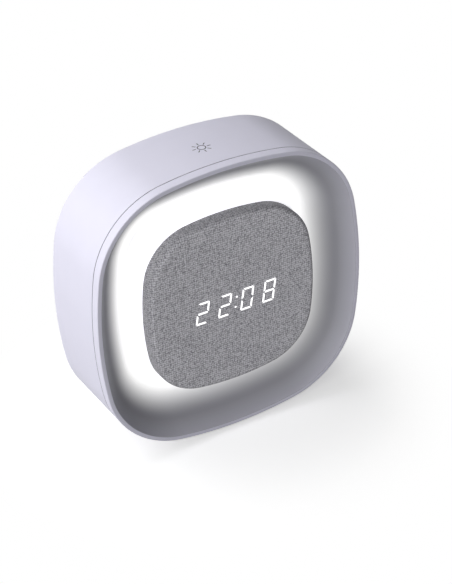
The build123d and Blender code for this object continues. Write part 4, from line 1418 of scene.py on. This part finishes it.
class Sign(Enum):
    """The straight strokes of each button's sign, between places in shares of the sign's half size."""

    TIME = (((0.0, 0.0), (0.0, 0.62)), ((0.0, 0.0), (0.5, 0.0)))
    ALARM = (((-0.22, -0.85), (0.22, -0.85)),)
    PLUS = (((-0.9, 0.0), (0.9, 0.0)), ((0.0, -0.9), (0.0, 0.9)))
    MINUS = (((-0.9, 0.0), (0.9, 0.0)),)


@dataclass
class RearSigns:
    """Small printed signs on the push buttons: a clock, a bell, a plus and a minus."""

    size: float = 1.7
    stroke: float = 0.36
    rise: float = 0.02
    sink: float = 0.05
    round_steps: int = 28
    bell: tuple[Pair, ...] = (
        (-0.95, -0.55),
        (0.95, -0.55),
        (0.7, -0.25),
        (0.62, 0.3),
        (0.42, 0.68),
        (0.0, 0.85),
        (-0.42, 0.68),
        (-0.62, 0.3),
        (-0.7, -0.25),
    )

    def bar(self, start: Pair, end: Pair) -> Plate:
        """One stroke between two places.

        Args:
            start: Its start, in shares of the sign's half size.
            end: Its end.

        Returns:
            The corners of its plate.
        """
        first, last = Vector(start) * self.size, Vector(end) * self.size
        side = (last - first).normalized().orthogonal() * self.stroke / 2
        return [tuple(corner) for corner in (first + side, first - side, last - side, last + side)]

    def circle(self) -> list[Plate]:
        """A ring of short plates round the middle.

        Returns:
            The corners of each plate.
        """
        plates = []
        outer, inner = self.size + self.stroke / 2, self.size - self.stroke / 2
        for step in range(self.round_steps):
            turns = [2 * math.pi * (step + end) / self.round_steps for end in (0, 1)]
            first, last = (Vector((math.cos(turn), math.sin(turn))) for turn in turns)
            corners = (first * inner, first * outer, last * outer, last * inner)
            plates.append([tuple(corner) for corner in corners])
        return plates

    def plates(self, sign: Sign) -> list[Plate]:
        """The flat plates of one button's sign.

        Args:
            sign: The button's sign.

        Returns:
            The corners of each plate.
        """
        strokes = [self.bar(*stroke) for stroke in sign.value]
        if sign is Sign.TIME:
            return self.circle() + strokes
        if sign is Sign.ALARM:
            return [[tuple(Vector(corner) * self.size) for corner in self.bell]] + strokes
        return strokes

    def build(self) -> None:
        """Builds the four signs, each on its button."""
        ink = PrintedInk("button_ink_finish", (0.16, 0.16, 0.18)).material()
        for sign in Sign:
            name = sign.name.lower()
            low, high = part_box(f"{name}_button")
            middle = [(a + b) / 2 for a, b in zip(low, high)]
            mesh = bmesh.new()
            for plate in self.plates(sign):
                faces = []
                for lift in (-self.sink, self.rise):
                    y = high[1] + lift * MM
                    places = [(middle[0] - x * MM, y, middle[2] + z * MM) for x, z in plate]
                    faces.append([mesh.verts.new(place) for place in places])
                mesh.faces.new(faces[0])
                mesh.faces.new(reversed(faces[1]))
                band(mesh, faces[0], faces[1])
            bmesh.ops.remove_doubles(mesh, verts=mesh.verts, dist=MERGE_DISTANCE)
            made = piece(f"{name}_sign", mesh, ink)
            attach(made, f"{name}_button")


@dataclass(frozen=True)
class SoftLamp:
    """A far lamp: the way it shines from, how bright it makes white paper, and its width in degrees."""

    name: str
    way: tuple[float, float, float]
    level: float
    spread: float

    def build(self) -> None:
        """Sets the lamp."""
        data = bpy.data.lights.new(self.name, "SUN")
        data.energy = self.level * math.pi
        data.angle = math.radians(self.spread)
        made = linked(self.name, data)
        made.rotation_euler = Vector(self.way).to_track_quat("Z", "Y").to_euler()


@dataclass
class Studio:
    """Camera, pale floor and soft light."""

    anchor: Anchor
    turn: float = -28.775
    rise: float = 31.931
    roll: float = -2.905
    distance: float = 836.4
    focal_pixels: float = 1944.46
    image: Pair = (452.0, 584.0)
    centre_pixel: Pair = (233.34, 299.304)
    sensor: float = 36.0
    clip_start: float = 10.0
    lamps: tuple[SoftLamp, ...] = (
        SoftLamp("key_lamp", way=(-0.57, 0.545, 0.615), level=0.83, spread=80.0),
        SoftLamp("fill_lamp", way=(-0.72, -0.58, 0.38), level=0.54, spread=40.0),
    )
    sky_level: float = 0.07
    floor_size: float = 8000.0
    floor_bounce: float = 0.28
    floor_tone: float = 0.80
    floor_lift: float = 0.46
    shadow_reach: Pair = (56.0, 112.0)

    def camera(self) -> None:
        """Sets the camera at the photograph's angle, distance and framing."""
        turn, rise, roll = (math.radians(angle) for angle in (self.turn, self.rise, self.roll))
        back = Vector((math.sin(turn) * math.cos(rise), -math.cos(turn) * math.cos(rise), math.sin(rise)))
        level = Vector((math.cos(turn), math.sin(turn), 0.0))
        upright = back.cross(level)
        right = level * math.cos(roll) + upright * math.sin(roll)
        up = upright * math.cos(roll) - level * math.sin(roll)
        per_pixel = self.distance / self.focal_pixels
        aside = (self.centre_pixel[0] - self.image[0] / 2) * per_pixel
        below = (self.centre_pixel[1] - self.image[1] / 2) * per_pixel
        place = self.anchor.point(0, 0, 0) + (back * self.distance - right * aside + up * below) * MM
        data = bpy.data.cameras.new("photo_camera")
        data.sensor_width = self.sensor
        data.lens = self.focal_pixels * self.sensor / self.image[1]
        data.clip_start = self.clip_start * MM
        made = linked("photo_camera", data)
        made.matrix_world = Matrix.Translation(place) @ Matrix((right, up, back)).transposed().to_4x4()
        bpy.context.scene.camera = made

    @staticmethod
    def seen(layer: NodeLayer) -> Socket:
        """Whether a ray comes from the camera, a gloss or a clear piece.

        Args:
            layer: The tree of the floor or the sky.

        Returns:
            1 for such a ray and 0 for any other.
        """
        path = layer.node("ShaderNodeLightPath").outputs
        direct = layer.sum("MAXIMUM", path["Is Camera Ray"], path["Is Glossy Ray"])
        return layer.sum("MAXIMUM", direct, path["Is Transmission Ray"])

    def paper(self) -> Material:
        """The floor's material, which keeps the shadow near the part and goes over to white round it.

        Returns:
            The material.
        """
        material = bpy.data.materials.new("floor_paper")
        material.use_nodes = True
        layer = NodeLayer(material.node_tree)
        layer.tree.nodes.clear()
        away = layer.measured("LENGTH", layer.node("ShaderNodeTexCoord").outputs["Object"])
        reach = tuple(size * MM for size in self.shadow_reach)
        tone = layer.ranged(away, reach, (self.floor_tone, 0.0), easing="SMOOTHSTEP")
        lift = layer.ranged(away, reach, (self.floor_lift, 1.0), easing="SMOOTHSTEP")
        lit = layer.out("ShaderNodeBsdfDiffuse", {"Color": tone})
        glow = layer.out("ShaderNodeEmission", {"Strength": lift})
        pale = layer.out("ShaderNodeAddShader", {0: lit, 1: glow})
        bounce = layer.out("ShaderNodeBsdfDiffuse", {"Color": (self.floor_bounce,) * 3 + (1.0,)})
        shown = layer.out("ShaderNodeMixShader", {0: self.seen(layer), 1: bounce, 2: pale})
        layer.node("ShaderNodeOutputMaterial", {"Surface": shown})
        return material

    def floor(self) -> None:
        """Lays the floor."""
        half = self.floor_size * MM / 2
        data = bpy.data.meshes.new("floor")
        corners = [(-half, -half, 0.0), (half, -half, 0.0), (half, half, 0.0), (-half, half, 0.0)]
        data.from_pydata(corners, [], [(0, 1, 2, 3)])
        data.materials.append(self.paper())
        made = linked("floor", data)

    def sky(self) -> None:
        """Sets an even sky that is white where it is seen."""
        world = bpy.data.worlds.new("studio")
        world.use_nodes = True
        layer = NodeLayer(world.node_tree)
        plain = layer.tree.nodes["Background"].inputs
        plain["Color"].default_value = (1.0, 1.0, 1.0, 1.0)
        layer.feed(plain["Strength"], layer.ranged(self.seen(layer), (0.0, 1.0), (self.sky_level, 1.0)))
        bpy.context.scene.world = world

    def build(self) -> None:
        """Sets the whole studio."""
        self.camera()
        for lamp in self.lamps:
            lamp.build()
        self.floor()
        self.sky()
        bpy.context.scene.view_settings.view_transform = "Standard"


def main() -> None:
    """Builds the clock's pieces in order and sets the studio round them."""
    logging.basicConfig(level=logging.INFO)
    anchor = Anchor.from_frame()
    rack = FinishRack()
    rack.dress_nodes()
    CaseShells(anchor).build()
    ClothDisplay(anchor, rack).build()
    LitTime(anchor).build()
    TouchSign(anchor).build()
    RearSigns().build()
    Studio(anchor).build()


if __name__ == "__main__":
    main()
